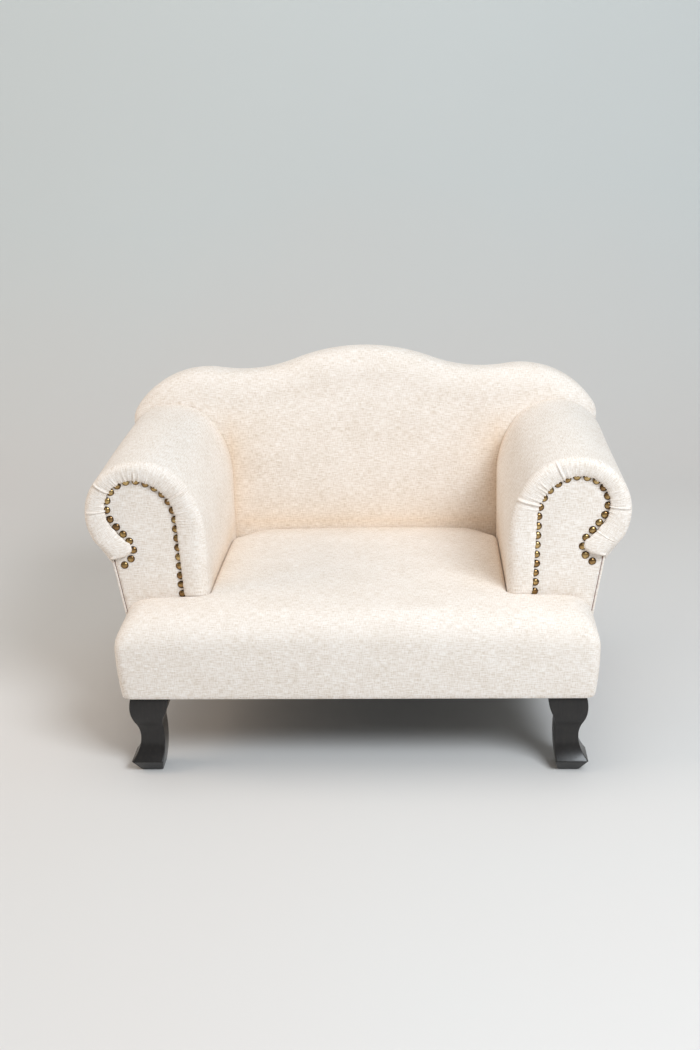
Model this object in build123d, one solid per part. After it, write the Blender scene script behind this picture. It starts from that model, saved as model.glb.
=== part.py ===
from build123d import *
from math import acos, asin, atan2, cos, degrees, radians, sin, sqrt, tan
import os

# Camel-back pet sofa: a timber base on four cabriole legs, two scroll arms, a camel back and a tight
# T-shaped seat. Millimetres, +Z up. X runs across the sofa, the front faces -Y, and the origin lies on the
# floor under the middle of the sofa's box. Right-hand pieces stand at +X, and the left-hand ones are their
# mirror image.

# ---- Overall ----
overall_depth = 498.0
leg_height = 115.5
fabric = 1.2                          # linen with its lining, where it is turned under
cover_thickness = 3.0                 # linen over wadding
clearance = 0.3                       # between a soft piece and its neighbour
dust_cloth = 0.8
front_y = -overall_depth / 2          # fullest point of the seat's front border
rear_y = overall_depth / 2            # outside of the back

# ---- Base frame ----
base_half_width = 318.0
base_front_setback = 13.0             # from the seat's border to the front rail
base_rear_setback = 4.0               # from the outside of the back to the rear rail
rail_thickness = 18.0
rail_height = 72.0
deck_thickness = 9.0
corner_block = 38.0
corner_block_height = 40.0
base_bottom = leg_height + fabric
rail_top = base_bottom + rail_height
deck_top = rail_top + deck_thickness
base_front = front_y + base_front_setback
base_rear = rear_y - base_rear_setback

# ---- Seat ----
seat_height = 242.5
seat_side_proud = 18.0                # fullest point of the ears, outside the base
seat_crown_radius = 6600.0            # across the seat
seat_fall_radius = 3145.0             # along the seat
seat_crest_setback = 99.0             # from the front to the highest line of the seat
seat_edge_radius = 42.0
seat_border_radius = 700.0            # bulge of the front and side borders
seat_corner_radius = 14.0
ear_depth = 101.0
ear_rear_round = 16.0                 # top edge of each ear against the arm's facing
hem_width = 22.0
seat_half_width = base_half_width + seat_side_proud

# ---- Back ----
back_height = 518.5
back_thickness = 72.0
back_side_proud = 55.1                # widest point of the back, beyond the base
back_foot_proud = 5.4                 # foot of the back, beyond the base
crown_radius = 305.0
crown_angle = 21.2
dip_angle = 30.4
hump_radius = 138.0
hump_angle = 66.1
shoulder_radius = 36.7
back_front_round = 26.0
back_rear_drop = 12.0                 # fall of the top to the outside of the back
back_rear_fall = 25.0                 # depth of that slope
back_square_top = 304.5               # rear corners are square up to here
back_foam_thickness = 18.0            # round the edge of the back frame
back_frame_depth = 47.0
back_board_thickness = 3.0
back_top_rail_drop = 94.0             # from the crown to the underside of the top rail
back_bottom_rail_height = 22.0
back_post_width = 40.0
back_stile_width = 40.0
back_panel_lap = 1.5                  # cover turned in round the outside panel
back_panel_margin = back_rear_drop + back_panel_lap
back_front = rear_y - back_thickness
back_frame_front = base_rear - back_frame_depth

# ---- Arms ----
arm_height = 437.0
scroll_radius = 79.5
scroll_out = 91.0                     # scroll centre from the arm's inner face
arm_hollow_radius = 150.0             # joins the inner face to the scroll
arm_foot_proud = 4.0                  # outside of the arm at the bottom of the base, beyond the base
arm_base_width = 105.0                # from the arm's inner face to the side of the base
arm_lean = 9.3                        # degrees from upright of the outside panel
arm_foam_thickness = 18.0
arm_board_thickness = 15.0
arm_inner_board_thickness = 5.0
arm_bottom_rail_width = 36.0
arm_bottom_rail_height = 20.0
arm_top_rail_height = 24.0
arm_outer_rail_height = 30.0
arm_outer_rail_width = 20.0
arm_panel_thickness = 3.2
facing_thickness = 4.0
facing_gap = 1.0                      # between the seat's ear and the facing
lip_proud = 12.0                      # padded lip in front of the facing
lip_round = 13.0
welt_radius = 2.0
facing_front = front_y + ear_depth + facing_gap
board_front = facing_front + facing_thickness
board_rear = board_front + arm_board_thickness
lip_front = facing_front - lip_proud
arm_rear = back_front - clearance
rear_board_front = arm_rear - arm_board_thickness
arm_foot_half_width = base_half_width + arm_foot_proud
seat_inside_half_width = base_half_width - arm_base_width
scroll_centre = Vector(seat_inside_half_width + scroll_out, arm_height - scroll_radius)
hollow_turn = degrees(acos((arm_hollow_radius - scroll_out) / (arm_hollow_radius - scroll_radius)))
hollow_height = scroll_centre.Y - (arm_hollow_radius - scroll_radius) * sin(radians(hollow_turn))

# ---- Nail row on the front of each arm ----
nail_head_radius = 5.75
nail_head_height = 3.0
nail_head_slope = 52.0                # degrees in from upright
nail_sides = 8
nail_shank = 1.8
nail_length = 12.0
nail_hole_gap = 0.1
nail_pitch = 14.0
nail_row_out = 38.2                   # foot of the row from the arm's inner face
nail_row_drop = 5.0                   # middle of the first nail, below the seat's highest line
nail_row_foot = seat_height - nail_row_drop
nail_row_heading = 88.0
nail_row_spring = 87.8                # end of the row's straight run, below the top of the arm
nail_row_rise = arm_height - nail_row_spring - nail_row_foot
nail_row_turns = [(60.0, -80.8), (39.0, -136.0)]
nail_row_slope = 32.7
nail_row_notch = (22.0, 89.5)
nail_row_tail = 8.2
facing_margin = 6.5                   # facing outside the middle of the nail row

# ---- Legs: slopes are degrees from upright, radii are the bandsawn curves from the top down ----
leg_width = 53.0
leg_side_proud = 1.0                  # of the base's side face
leg_front_proud = 4.0                 # of the base's front rail
leg_rear_setback = 2.0                # from the base's rear rail
knee_flare = 16.0
knee_radius = 56.0
waist_slope = 30.0
toe_flare = 50.0
toe_height = 15.5
sole_setback = 8.0                   # from the leg's outer face
calf_radius = 60.0
calf_slope = 28.0
calf_hollow_radius = 30.0
calf_flare = 5.0
heel_slope = 12.0

# ---- Joints and hardware ----
tenon_length = 44.0
tenon_thickness = 16.0
arm_tenon_end = 62.0                  # from each end of the arm to the tenon's middle
arm_tenon_setback = 12.0              # from the side rail's inner face to the tenon's middle
back_tenon_half_pitch = 120.0
back_tenon_setback = 14.0             # from the rear rail's inner face to the tenon's middle
hole_gap = 0.2
stud_sides = 12
hanger_radius = 4.0
hanger_inset = 36.0                   # from the leg's two outer faces
hanger_in_leg = 30.0
hanger_end = 3.0                      # beyond the nut
nut_width = 13.0
nut_height = 6.5


# ---- Shapes used by several pieces ----
def box(x0, x1, y0, y1, z0, z1):
    """A box between two corners."""
    return Pos(x0, y0, z0) * Box(x1 - x0, y1 - y0, z1 - z0, align=(Align.MIN, Align.MIN, Align.MIN))


def stud(x, y, z0, z1, radius):
    """An upright bar, its round section drawn with flats."""
    return extrude(Pos(x, y, z0) * RegularPolygon(radius, stud_sides), z1 - z0)


def carried_back(face, y0, y1):
    """A front-view outline carried from y0 back to y1."""
    return extrude(Plane.XZ.offset(-y0) * face, amount=y1 - y0, dir=(0, 1, 0))


def trace(start, heading, steps, inset=0.0):
    """Edges of a path of straight runs and tangent arcs, moved to its right by inset.

    A step is (size, turn). Without a turn the size is a run's length, and otherwise it is an arc's radius,
    with a turn to the left counted up in degrees.
    """
    ahead = Vector(cos(radians(heading)), sin(radians(heading)))
    point = Vector(*start) + Vector(ahead.Y, -ahead.X) * inset
    edges = []
    for size, turn in steps:
        if turn:
            radius = size + inset if turn > 0 else size - inset
            edge = JernArc(point, ahead, radius, turn)
        else:
            edge = Line(point, point + ahead * size)
        edges.append(edge)
        point = edge @ 1
        ahead = edge % 1
    return edges


def mirrored(shape):
    """The left-hand copy of a right-hand shape."""
    return mirror(shape, about=Plane.YZ)


def closed_face(edges, *corners):
    """A face inside a path that straight lines through the corners close."""
    points = [edges[-1] @ 1, *[Vector(*corner) for corner in corners], edges[0] @ 0]
    return make_face(edges + [Line(a, b) for a, b in zip(points, points[1:])])


def both_sides(edges):
    """A face between half an outline, its mirror image and a straight foot."""
    foot = edges[-1] @ 1
    return make_face(edges + [mirrored(edge) for edge in edges] + [Line(foot, Vector(-foot.X, foot.Y))])


def group(*parts):
    """Separate solids that share one node."""
    return Compound(children=[solid for part in parts for solid in part.solids()])


def bevel(radius):
    """Length of the bevel that touches the middle of a round edge."""
    return radius * (2 - sqrt(2))


def base_space(gap=0.0):
    """The block that the base frame and its deck fill, grown by gap."""
    side = base_half_width + gap
    return box(-side, side, base_front - gap, base_rear + gap, leg_height, deck_top + gap)


# ---- Seat ----
def cushion_steps(reach, crown, foot, inset):
    """Half an outline of the seat outward from its crest: crowned top, round edge and bulging border."""
    fall = asin((reach - seat_edge_radius) / (crown - seat_edge_radius))
    border_top = seat_height - crown * (1 - cos(fall)) - seat_edge_radius * cos(fall)
    bulge = asin((border_top - foot) / (seat_border_radius - inset))
    edge = (seat_edge_radius, degrees(fall) - 90)
    return [(crown, -degrees(fall)), edge, (seat_border_radius, -degrees(bulge))]


def seat_front_view(inset, foot):
    """The seat from the front."""
    steps = cushion_steps(seat_half_width, seat_crown_radius, foot, inset)
    return both_sides(trace((0, seat_height), 0, steps, inset))


def seat_side_view(inset, foot):
    """The middle of the seat from the side, its front drawn to the right: it falls from crest to back."""
    crest = -front_y - seat_crest_setback
    steps = cushion_steps(seat_crest_setback, seat_fall_radius, foot, inset)
    front = trace((crest, seat_height), 0, steps, inset)
    fall = asin((arm_rear - inset + crest) / (seat_fall_radius - inset))
    rear = mirrored(trace((-crest, seat_height), 0, [(seat_fall_radius, -degrees(fall))], inset)[0])
    end = min(rear @ 0, rear @ 1, key=lambda point: point.X)
    foot_run = Line(front[-1] @ 1, Vector(end.X, foot))
    return make_face([*front, rear, foot_run, Line(foot_run @ 1, end)])


def ear_side_view(inset, foot):
    """The ears from the side: the same front, and a rounded top edge against the arms."""
    rear = -front_y - ear_depth + inset
    ear = Pos(rear, foot) * Rectangle(ear_depth, seat_height, align=(Align.MIN, Align.MIN))
    view = seat_side_view(inset, foot) & ear
    corner = view.vertices().group_by(Axis.X)[0].sort_by(Axis.Y)[-1]
    return fillet(corner, ear_rear_round - inset)


def carried_across(view, reach):
    """A side view, drawn with the front to the right, carried across from -reach to reach."""
    side_plane = Plane(origin=(-reach, 0, 0), x_dir=(0, -1, 0), z_dir=(-1, 0, 0))
    return extrude(side_plane * view, amount=2 * reach, dir=(1, 0, 0))


def seat_form(inset, foot):
    """The T-shaped seat, moved in by inset: ears in front of the arms, and the stem between them."""
    along = carried_back(seat_front_view(inset, foot), front_y, rear_y)
    ear_width = 2 * (seat_half_width - inset)
    ear_plan = RectangleRounded(ear_width, ear_depth - 2 * inset, seat_corner_radius - inset)
    ears = along & extrude(Pos(0, front_y + ear_depth / 2, foot) * ear_plan, amount=seat_height)
    ears &= carried_across(ear_side_view(inset, foot), seat_half_width)
    stem_side = seat_inside_half_width - clearance - inset
    stem_front = front_y + ear_depth / 2
    stem = along & carried_across(seat_side_view(inset, foot), stem_side)
    return ears + (stem & box(-stem_side, stem_side, stem_front, arm_rear - inset, foot, seat_height))


def seat_cover():
    """Tight linen cover: T-shaped top, borders down to the base, and a hem turned under the rails."""
    outside = seat_form(0, leg_height)
    shell = outside - seat_form(cover_thickness, leg_height) - base_space()
    outer = seat_half_width
    inner = base_half_width - hem_width
    hem = outside & box(-outer, outer, front_y, front_y + ear_depth, leg_height, base_bottom)
    hem -= box(-inner, inner, base_front + hem_width, rear_y, leg_height, base_bottom)
    return shell + hem


def seat_foam():
    """T-shaped foam on the deck, with a thin layer down the front and sides of the base."""
    return seat_form(cover_thickness + clearance, base_bottom) - base_space(clearance) - base_space()


# ---- Base frame ----
def leg_corners():
    """Outer corners of the four leg tops, with the directions in toward the middle."""
    side = base_half_width + leg_side_proud
    front = base_front - leg_front_proud
    rear = base_rear - leg_rear_setback
    return {
        "front_left_leg": (-side, front, 1, 1),
        "front_right_leg": (side, front, -1, 1),
        "rear_left_leg": (-side, rear, 1, -1),
        "rear_right_leg": (side, rear, -1, -1),
    }


def hanger_places():
    """Middles of the four hanger bolts."""
    return [(x + sx * hanger_inset, y + sy * hanger_inset) for x, y, sx, sy in leg_corners().values()]


def arm_tenon(y, gap=0.0):
    """Tenon of the right arm through the deck, inside the side rail, grown by gap."""
    x = base_half_width - rail_thickness - arm_tenon_setback
    half_x = tenon_thickness / 2 + gap
    half_y = tenon_length / 2 + gap
    return box(x - half_x, x + half_x, y - half_y, y + half_y, rail_top, deck_top)


def arm_tenons(gap=0.0):
    """The right arm's two tenons."""
    return [arm_tenon(board_rear + arm_tenon_end, gap), arm_tenon(rear_board_front - arm_tenon_end, gap)]


def back_tenons(gap=0.0):
    """The back's two tenons through the deck, inside the rear rail, grown by gap."""
    y = base_rear - rail_thickness - back_tenon_setback
    half_x = tenon_length / 2 + gap
    half_y = tenon_thickness / 2 + gap
    x0 = back_tenon_half_pitch - half_x
    tenon = box(x0, x0 + 2 * half_x, y - half_y, y + half_y, rail_top, deck_top)
    return [tenon, mirrored(tenon)]


def base_rails():
    """Four rails round the base and one under the middle of the seat."""
    inner_x = base_half_width - rail_thickness
    inner_front = base_front + rail_thickness
    inner_rear = base_rear - rail_thickness
    half = rail_thickness / 2
    right = box(inner_x, base_half_width, inner_front, inner_rear, base_bottom, rail_top)
    side = base_half_width
    return {
        "front_rail": box(-side, side, base_front, inner_front, base_bottom, rail_top),
        "rear_rail": box(-side, side, inner_rear, base_rear, base_bottom, rail_top),
        "left_rail": mirrored(right),
        "right_rail": right,
        "centre_rail": box(-half, half, inner_front, inner_rear, base_bottom, rail_top),
    }


def corner_blocks():
    """Blocks glued into the corners of the base, bored for the legs' studs."""
    top = base_bottom + corner_block_height
    inner_x = base_half_width - rail_thickness
    blocks = []
    for x, y in hanger_places():
        x0 = inner_x - corner_block if x > 0 else -inner_x
        y0 = base_front + rail_thickness if y < 0 else base_rear - rail_thickness - corner_block
        block = box(x0, x0 + corner_block, y0, y0 + corner_block, base_bottom, top)
        blocks.append(block - stud(x, y, base_bottom, top, hanger_radius + hole_gap))
    return group(*blocks)


def seat_deck():
    """Plywood deck with mortises for the tenons of the arms and back."""
    deck = box(-base_half_width, base_half_width, base_front, base_rear, rail_top, deck_top)
    right = arm_tenons(hole_gap)
    return deck - right - [mirrored(mortise) for mortise in right] - back_tenons(hole_gap)


def dust_cover():
    """Black cloth tacked under the base, cut out round the legs."""
    edge = 2 * fabric
    side = base_half_width - edge
    cloth = box(-side, side, base_front + edge, base_rear - edge, leg_height - dust_cloth, leg_height)
    reach = leg_width + clearance
    for x, y, inward_x, inward_y in leg_corners().values():
        cloth -= Pos(x, y, leg_height) * Box(2 * reach, 2 * reach, 2 * dust_cloth)
    return cloth


# ---- Legs ----
def leg_outline():
    """Cabriole outline, with X in from the outer face: knee, waist and toe, then calf and heel."""
    knee = (knee_radius, knee_flare + waist_slope)
    drop = (trace((0, leg_height), -90 - knee_flare, [knee])[-1] @ 1).Y - toe_height
    waist_radius = drop / (sin(radians(waist_slope)) + sin(radians(toe_flare)))
    outer = trace((0, leg_height), -90 - knee_flare, [knee, (waist_radius, -waist_slope - toe_flare)])
    calf = [(calf_radius, -calf_slope), (calf_hollow_radius, calf_slope + calf_flare)]
    drop = (trace((leg_width, leg_height), -90, calf)[-1] @ 1).Y
    heel_radius = drop / (sin(radians(calf_flare)) + sin(radians(heel_slope)))
    inner = trace((leg_width, leg_height), -90, [*calf, (heel_radius, -calf_flare - heel_slope)])
    sole = Vector(sole_setback, 0)
    corners = [Line(outer[-1] @ 1, sole), Line(sole, inner[-1] @ 1), Line(outer[0] @ 0, inner[0] @ 0)]
    return make_face([*outer, *inner, *corners])


def leg(x, y, inward_x, inward_y):
    """Leg sawn to the same outline from two faces, with its toe at the outer corner."""
    outline = leg_outline()
    one_way = extrude(Plane.XZ * outline, amount=leg_width, dir=(0, 1, 0), both=True)
    other_way = extrude(Plane.YZ * outline, amount=leg_width, dir=(1, 0, 0), both=True)
    blank = one_way & other_way
    hole_foot = leg_height - hanger_in_leg - hole_gap
    blank -= stud(hanger_inset, hanger_inset, hole_foot, leg_height, hanger_radius + hole_gap)
    if inward_x < 0:
        blank = mirror(blank, about=Plane.YZ)
    if inward_y < 0:
        blank = mirror(blank, about=Plane.XZ)
    return Pos(x, y, 0) * blank


def leg_hanger_bolts():
    """Threaded studs from the legs up through the corner blocks."""
    top = base_bottom + corner_block_height + nut_height + hanger_end
    return group(*[stud(x, y, leg_height - hanger_in_leg, top, hanger_radius) for x, y in hanger_places()])


def leg_nuts():
    """Hexagon nuts on the corner blocks."""
    foot = base_bottom + corner_block_height
    outline = RegularPolygon(nut_width / 2, 6, major_radius=False)
    outline -= RegularPolygon(hanger_radius + hole_gap / 2, stud_sides)
    return group(*[extrude(Pos(x, y, foot) * outline, nut_height) for x, y in hanger_places()])


# ---- Arms, drawn on the right ----
def arm_outside(z):
    """Where the leaning outside of the arm is at a height."""
    return arm_foot_half_width + (z - base_bottom) * tan(radians(arm_lean))


def arm_section(inset, outside_inset, foot):
    """The arm from the front: inner face, hollow, scroll down to its crease, and leaning outside."""
    radius = scroll_radius - inset
    offset = (arm_outside(scroll_centre.Y) - scroll_centre.X) * cos(radians(arm_lean)) - outside_inset
    scroll_turn = 180 - hollow_turn + arm_lean + degrees(acos(offset / radius))
    steps = [(hollow_height - foot, 0), (arm_hollow_radius, -hollow_turn), (scroll_radius, -scroll_turn)]
    edges = trace((seat_inside_half_width, foot), 90, steps, inset)
    return closed_face(edges, (arm_outside(foot) - outside_inset / cos(radians(arm_lean)), foot))


def scroll_bar(gap):
    """A round bar as large as the scroll, grown by gap."""
    circle = Pos(scroll_centre.X, scroll_centre.Y) * Circle(scroll_radius + gap)
    return carried_back(circle, front_y, rear_y)


def nail_row(margin, foot, tail):
    """Path of the nail row, moved outward by margin, from a height up the arm, round the scroll and out."""
    rise = (nail_row_foot - foot) / sin(radians(nail_row_heading))
    start_x = seat_inside_half_width + nail_row_out - rise * cos(radians(nail_row_heading))
    steps = [(nail_row_rise + rise, 0), *nail_row_turns, (nail_row_slope, 0), nail_row_notch, (tail, 0)]
    return trace((start_x, foot), nail_row_heading, steps, -margin)


def facing_area(margin, foot):
    """The front of the arm that the nail row borders, open to the outside."""
    far = scroll_centre.X + 2 * scroll_radius
    path = nail_row(margin, foot, scroll_radius)
    return closed_face(path, (far, (path[-1] @ 1).Y), (far, foot))


def arm_form(inset):
    """The padded arm's outer form, moved in by inset, with the facing's recess inside its padded lip."""
    foot = deck_top + clearance
    front = lip_front + inset
    form = carried_back(arm_section(inset, 0, foot), front, arm_rear)
    front_edges = form.faces().sort_by(Axis.Y)[0].edges()
    lip = front_edges.filter_by(GeomType.CIRCLE) + front_edges.filter_by(GeomType.LINE).sort_by(Axis.X)[:1]
    form = chamfer(lip, bevel(lip_round - inset))
    recess_outline = facing_area(facing_margin + clearance + inset, leg_height)
    recess = carried_back(recess_outline, front_y, board_front)
    return form - recess


def arm_cover(ear_room):
    """Linen over the inner face, scroll and lip, open at the outside, the rear and the foot."""
    return arm_form(0) - arm_form(cover_thickness) - ear_room


def arm_foam(ear_room):
    """Foam layer round the arm's boards, with the lip in front of them."""
    core_section = arm_section(arm_foam_thickness - clearance, 0, deck_top)
    core = carried_back(core_section, board_front - clearance, arm_rear)
    return arm_form(cover_thickness + clearance) - core - ear_room


def arm_board(y0):
    """Scroll-shaped end board of the arm."""
    section = arm_section(arm_foam_thickness, arm_panel_thickness + clearance, deck_top)
    return carried_back(section, y0, y0 + arm_board_thickness)


def arm_rails():
    """The pieces that join the arm's two boards."""
    inside = carried_back(arm_section(arm_foam_thickness, arm_panel_thickness + clearance, deck_top),
                          board_rear, rear_board_front)
    board_x = seat_inside_half_width + arm_foam_thickness
    top = arm_height - arm_foam_thickness
    crease = scroll_centre.Y - scroll_radius * sin(radians(60))
    outer_x = arm_outside(crease - arm_outer_rail_height) - arm_panel_thickness - arm_outer_rail_width
    half = arm_bottom_rail_width / 2
    middle = base_half_width - rail_thickness - arm_tenon_setback
    bottom_top = deck_top + arm_bottom_rail_height
    bottom = box(middle - half, middle + half, board_rear, rear_board_front, deck_top, bottom_top)
    bottom += arm_tenons()
    inner_face = board_x + arm_inner_board_thickness
    inner = box(board_x, inner_face, board_rear, rear_board_front, deck_top, hollow_height)
    far = scroll_centre.X + scroll_radius
    return {
        "bottom_rail": bottom,
        "inner_board": inner,
        "top_rail": inside & box(board_x, far, front_y, rear_y, top - arm_top_rail_height, arm_height),
        "outer_rail": inside & box(outer_x, far, front_y, rear_y, crease - arm_outer_rail_height, crease),
    }


def nail():
    """Upholstery nail along Z: a low faceted head and a square shank below it."""
    head = extrude(RegularPolygon(nail_head_radius, nail_sides), nail_head_height, taper=nail_head_slope)
    return head + Box(nail_shank, nail_shank, nail_length, align=(Align.CENTER, Align.CENTER, Align.MAX))


def nail_places():
    """Planes of the nails: equal steps back from the end of the row, each facing the front."""
    row = Wire(nail_row(0, nail_row_foot, nail_row_tail))
    steps = int(row.length / nail_pitch)
    points = [row.position_at(row.length - i * nail_pitch, PositionMode.LENGTH) for i in range(steps + 1)]
    return [Plane(origin=(p.X, facing_front, p.Y), z_dir=(0, -1, 0)) for p in points]


def nail_holes():
    """Square holes for the nails' shanks."""
    width = nail_shank + 2 * nail_hole_gap
    hole = Box(width, width, nail_length + nail_hole_gap, align=(Align.CENTER, Align.CENTER, Align.MAX))
    return [place * hole for place in nail_places()]


def arm_facing():
    """Fabric-covered board inside the nail row, its outer edge along the welt."""
    edge = 2 * welt_radius + clearance
    whole = facing_area(facing_margin, deck_top) & arm_section(0, edge, deck_top)
    return carried_back(whole, facing_front, board_front) - nail_holes()


def arm_outer_panel():
    """Leaning outside panel from the bottom of the base up to the scroll."""
    top = scroll_centre.Y
    outline = Polyline((arm_outside(base_bottom), base_bottom), (arm_outside(top), top),
                       (arm_outside(top) - arm_panel_thickness, top),
                       (arm_outside(base_bottom) - arm_panel_thickness, base_bottom), close=True)
    return carried_back(make_face(outline), board_front, arm_rear) - scroll_bar(clearance)


def arm_welt():
    """Piping down the front edge of the outside panel."""
    y = board_front - welt_radius
    foot = Vector(arm_outside(base_bottom) - welt_radius, y, base_bottom)
    top = Vector(arm_outside(scroll_centre.Y) - welt_radius, y, scroll_centre.Y)
    cord = extrude(Plane(origin=foot, z_dir=top - foot) * Circle(welt_radius), (top - foot).length)
    return cord & carried_back(facing_area(facing_margin, base_bottom), lip_front, board_front)


def arm_parts():
    """Every piece of the right arm by name."""
    ear_room = seat_form(-clearance, base_bottom)
    pieces = {
        "front_board": arm_board(board_front) - nail_holes(),
        "rear_board": arm_board(rear_board_front),
        "foam": arm_foam(ear_room),
        "cover": arm_cover(ear_room),
        "facing": arm_facing(),
        "outer_panel": arm_outer_panel(),
        "welt": arm_welt(),
        "nails": group(*[place * nail() for place in nail_places()]),
    }
    pieces.update(arm_rails())
    return pieces


# ---- Back ----
def back_steps():
    """The camel back's top from the middle out, and the lean of its side down to the base."""
    rise = dip_angle - crown_angle
    fall = hump_angle - rise
    crown_reach = crown_radius * sin(radians(crown_angle))
    hump_reach = hump_radius * (sin(radians(rise)) + sin(radians(fall)))
    shoulder_reach = shoulder_radius * (1 - sin(radians(fall)))
    dip_reach = base_half_width + back_side_proud - crown_reach - hump_reach - shoulder_reach
    dip_radius = dip_reach / (sin(radians(crown_angle)) + sin(radians(rise)))
    steps = [(crown_radius, -crown_angle), (dip_radius, dip_angle), (hump_radius, -hump_angle)]
    hump = trace((0, back_height), 0, steps)[-1]
    ahead = hump % 1
    shoulder_centre = hump @ 1 + Vector(ahead.Y, -ahead.X) * shoulder_radius
    away = shoulder_centre - Vector(base_half_width + back_foot_proud, base_bottom)
    lean = 90 - degrees(atan2(away.Y, away.X) - asin(shoulder_radius / away.length))
    return [*steps, (shoulder_radius, fall - lean - 90)], lean


def back_outline(inset, foot):
    """The camel back from the front, moved in by inset: crown, dip, hump, shoulder and leaning side."""
    steps, lean = back_steps()
    half = trace((0, back_height), 0, steps, inset)
    shoulder = half[-1] @ 1
    side = (shoulder.Y - foot) * tan(radians(lean))
    half.append(Line(shoulder, Vector(shoulder.X - side, foot)))
    return both_sides(half)


def back_form(inset):
    """The padded back's outer form, moved in by inset.

    Its top is eased in front and slopes down behind, and its sides stay square lower down.
    """
    blank = carried_back(back_outline(inset, base_bottom), back_front + inset, rear_y - inset)
    front_edges = blank.faces().sort_by(Axis.Y)[0].edges().sort_by(Axis.Z)[1:]
    eased = chamfer(front_edges, bevel(back_front_round - inset))
    rear = eased.faces().sort_by(Axis.Y)[-1]
    eased = chamfer(rear.edges().sort_by(Axis.Z)[1:], back_rear_drop, back_rear_fall, reference=rear)
    view = Polyline(
        (-rear_y, base_bottom), (-rear_y, back_square_top), (back_thickness / 2 - rear_y, scroll_centre.Y),
        (-back_front, scroll_centre.Y), (-back_front, base_bottom), close=True)
    square = blank & carried_across(make_face(view), seat_half_width + scroll_radius)
    return eased + square


def back_cover():
    """Linen over the front, top and sides of the back, turned in behind round the outside panel."""
    opening = carried_back(back_outline(back_panel_margin, leg_height), base_rear, rear_y + clearance)
    return back_form(0) - back_form(cover_thickness) - opening - base_space(clearance)


def back_foam():
    """Foam in front of the back frame and over its edge."""
    core_outline = back_outline(back_foam_thickness - clearance, leg_height)
    core = carried_back(core_outline, back_frame_front - back_board_thickness - clearance, rear_y)
    reach = seat_half_width + scroll_radius
    below = box(-reach, reach, front_y, rear_y, leg_height, deck_top + clearance)
    behind = box(-reach, reach, base_rear - clearance, rear_y, leg_height, back_height)
    return back_form(cover_thickness + clearance) - core - below - behind


def back_frame():
    """Camel-cut top rail, tapered posts, centre stile and bottom rail."""
    frame = carried_back(back_outline(back_foam_thickness, deck_top), back_frame_front, base_rear)
    inner = carried_back(back_outline(back_foam_thickness + back_post_width, deck_top - back_post_width),
                         front_y, rear_y)
    rail_foot = back_height - back_top_rail_drop
    post_foot = deck_top + back_bottom_rail_height
    reach = seat_half_width + scroll_radius
    half = back_stile_width / 2
    bottom = frame & box(-reach, reach, front_y, rear_y, deck_top, post_foot)
    bottom += back_tenons()
    middle = frame & box(-reach, reach, front_y, rear_y, post_foot, rail_foot)
    posts = (middle - inner).solids().sort_by(Axis.X)
    return {
        "back_top_rail": frame & box(-reach, reach, front_y, rear_y, rail_foot, back_height),
        "back_left_post": posts[0],
        "back_right_post": posts[-1],
        "back_centre_stile": middle & box(-half, half, front_y, rear_y, post_foot, rail_foot),
        "back_bottom_rail": bottom,
    }


def back_parts():
    """Every piece of the back by name."""
    board_outline = back_outline(back_foam_thickness, deck_top)
    panel_outline = back_outline(back_panel_margin + clearance, base_bottom)
    board_y = back_frame_front - back_board_thickness
    pieces = {
        "back_support_board": carried_back(board_outline, board_y, back_frame_front),
        "back_foam": back_foam(),
        "back_cover": back_cover(),
        "back_outer_panel": carried_back(panel_outline, base_rear, rear_y),
    }
    pieces.update(back_frame())
    return pieces


# ---- Whole sofa ----
def sofa_parts():
    """Every node by name."""
    pieces = {
        "corner_blocks": corner_blocks(),
        "seat_deck": seat_deck(),
        "seat_foam": seat_foam(),
        "seat_cover": seat_cover(),
        "dust_cover": dust_cover(),
        "leg_hanger_bolts": leg_hanger_bolts(),
        "leg_nuts": leg_nuts(),
    }
    pieces.update(base_rails())
    for name, place in leg_corners().items():
        pieces[name] = leg(*place)
    for name, piece in arm_parts().items():
        pieces["right_arm_" + name] = piece
        pieces["left_arm_" + name] = mirrored(piece)
    pieces.update(back_parts())
    return pieces


os.makedirs("parts", exist_ok=True)
for name, piece in sofa_parts().items():
    export_step(piece, f"parts/{name}.step")
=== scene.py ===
import math

import bmesh
import bpy
import numpy as np
from mathutils import Matrix, Vector
from mathutils.geometry import delaunay_2d_cdt


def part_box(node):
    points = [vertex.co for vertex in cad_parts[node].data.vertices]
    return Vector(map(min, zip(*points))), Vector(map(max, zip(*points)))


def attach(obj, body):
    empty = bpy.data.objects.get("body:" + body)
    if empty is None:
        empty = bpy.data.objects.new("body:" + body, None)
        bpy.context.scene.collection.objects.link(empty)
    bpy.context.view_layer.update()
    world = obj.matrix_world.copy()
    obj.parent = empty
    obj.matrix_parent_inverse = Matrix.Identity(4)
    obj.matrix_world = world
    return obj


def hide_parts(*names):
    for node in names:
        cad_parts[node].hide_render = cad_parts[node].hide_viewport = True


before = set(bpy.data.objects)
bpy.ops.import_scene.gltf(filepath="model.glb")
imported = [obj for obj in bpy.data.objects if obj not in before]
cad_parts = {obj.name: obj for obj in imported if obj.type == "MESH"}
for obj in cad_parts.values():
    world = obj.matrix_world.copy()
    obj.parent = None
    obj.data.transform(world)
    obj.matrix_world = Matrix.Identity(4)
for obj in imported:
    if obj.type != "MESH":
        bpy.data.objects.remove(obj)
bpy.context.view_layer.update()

# Camel-back pet sofa in the CAD frame: metres, +X across, the front faces -Y, +Z up.
# What comes in pairs is worked out on the right; side is 1 for the right one and -1 for its mirror image.

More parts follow.
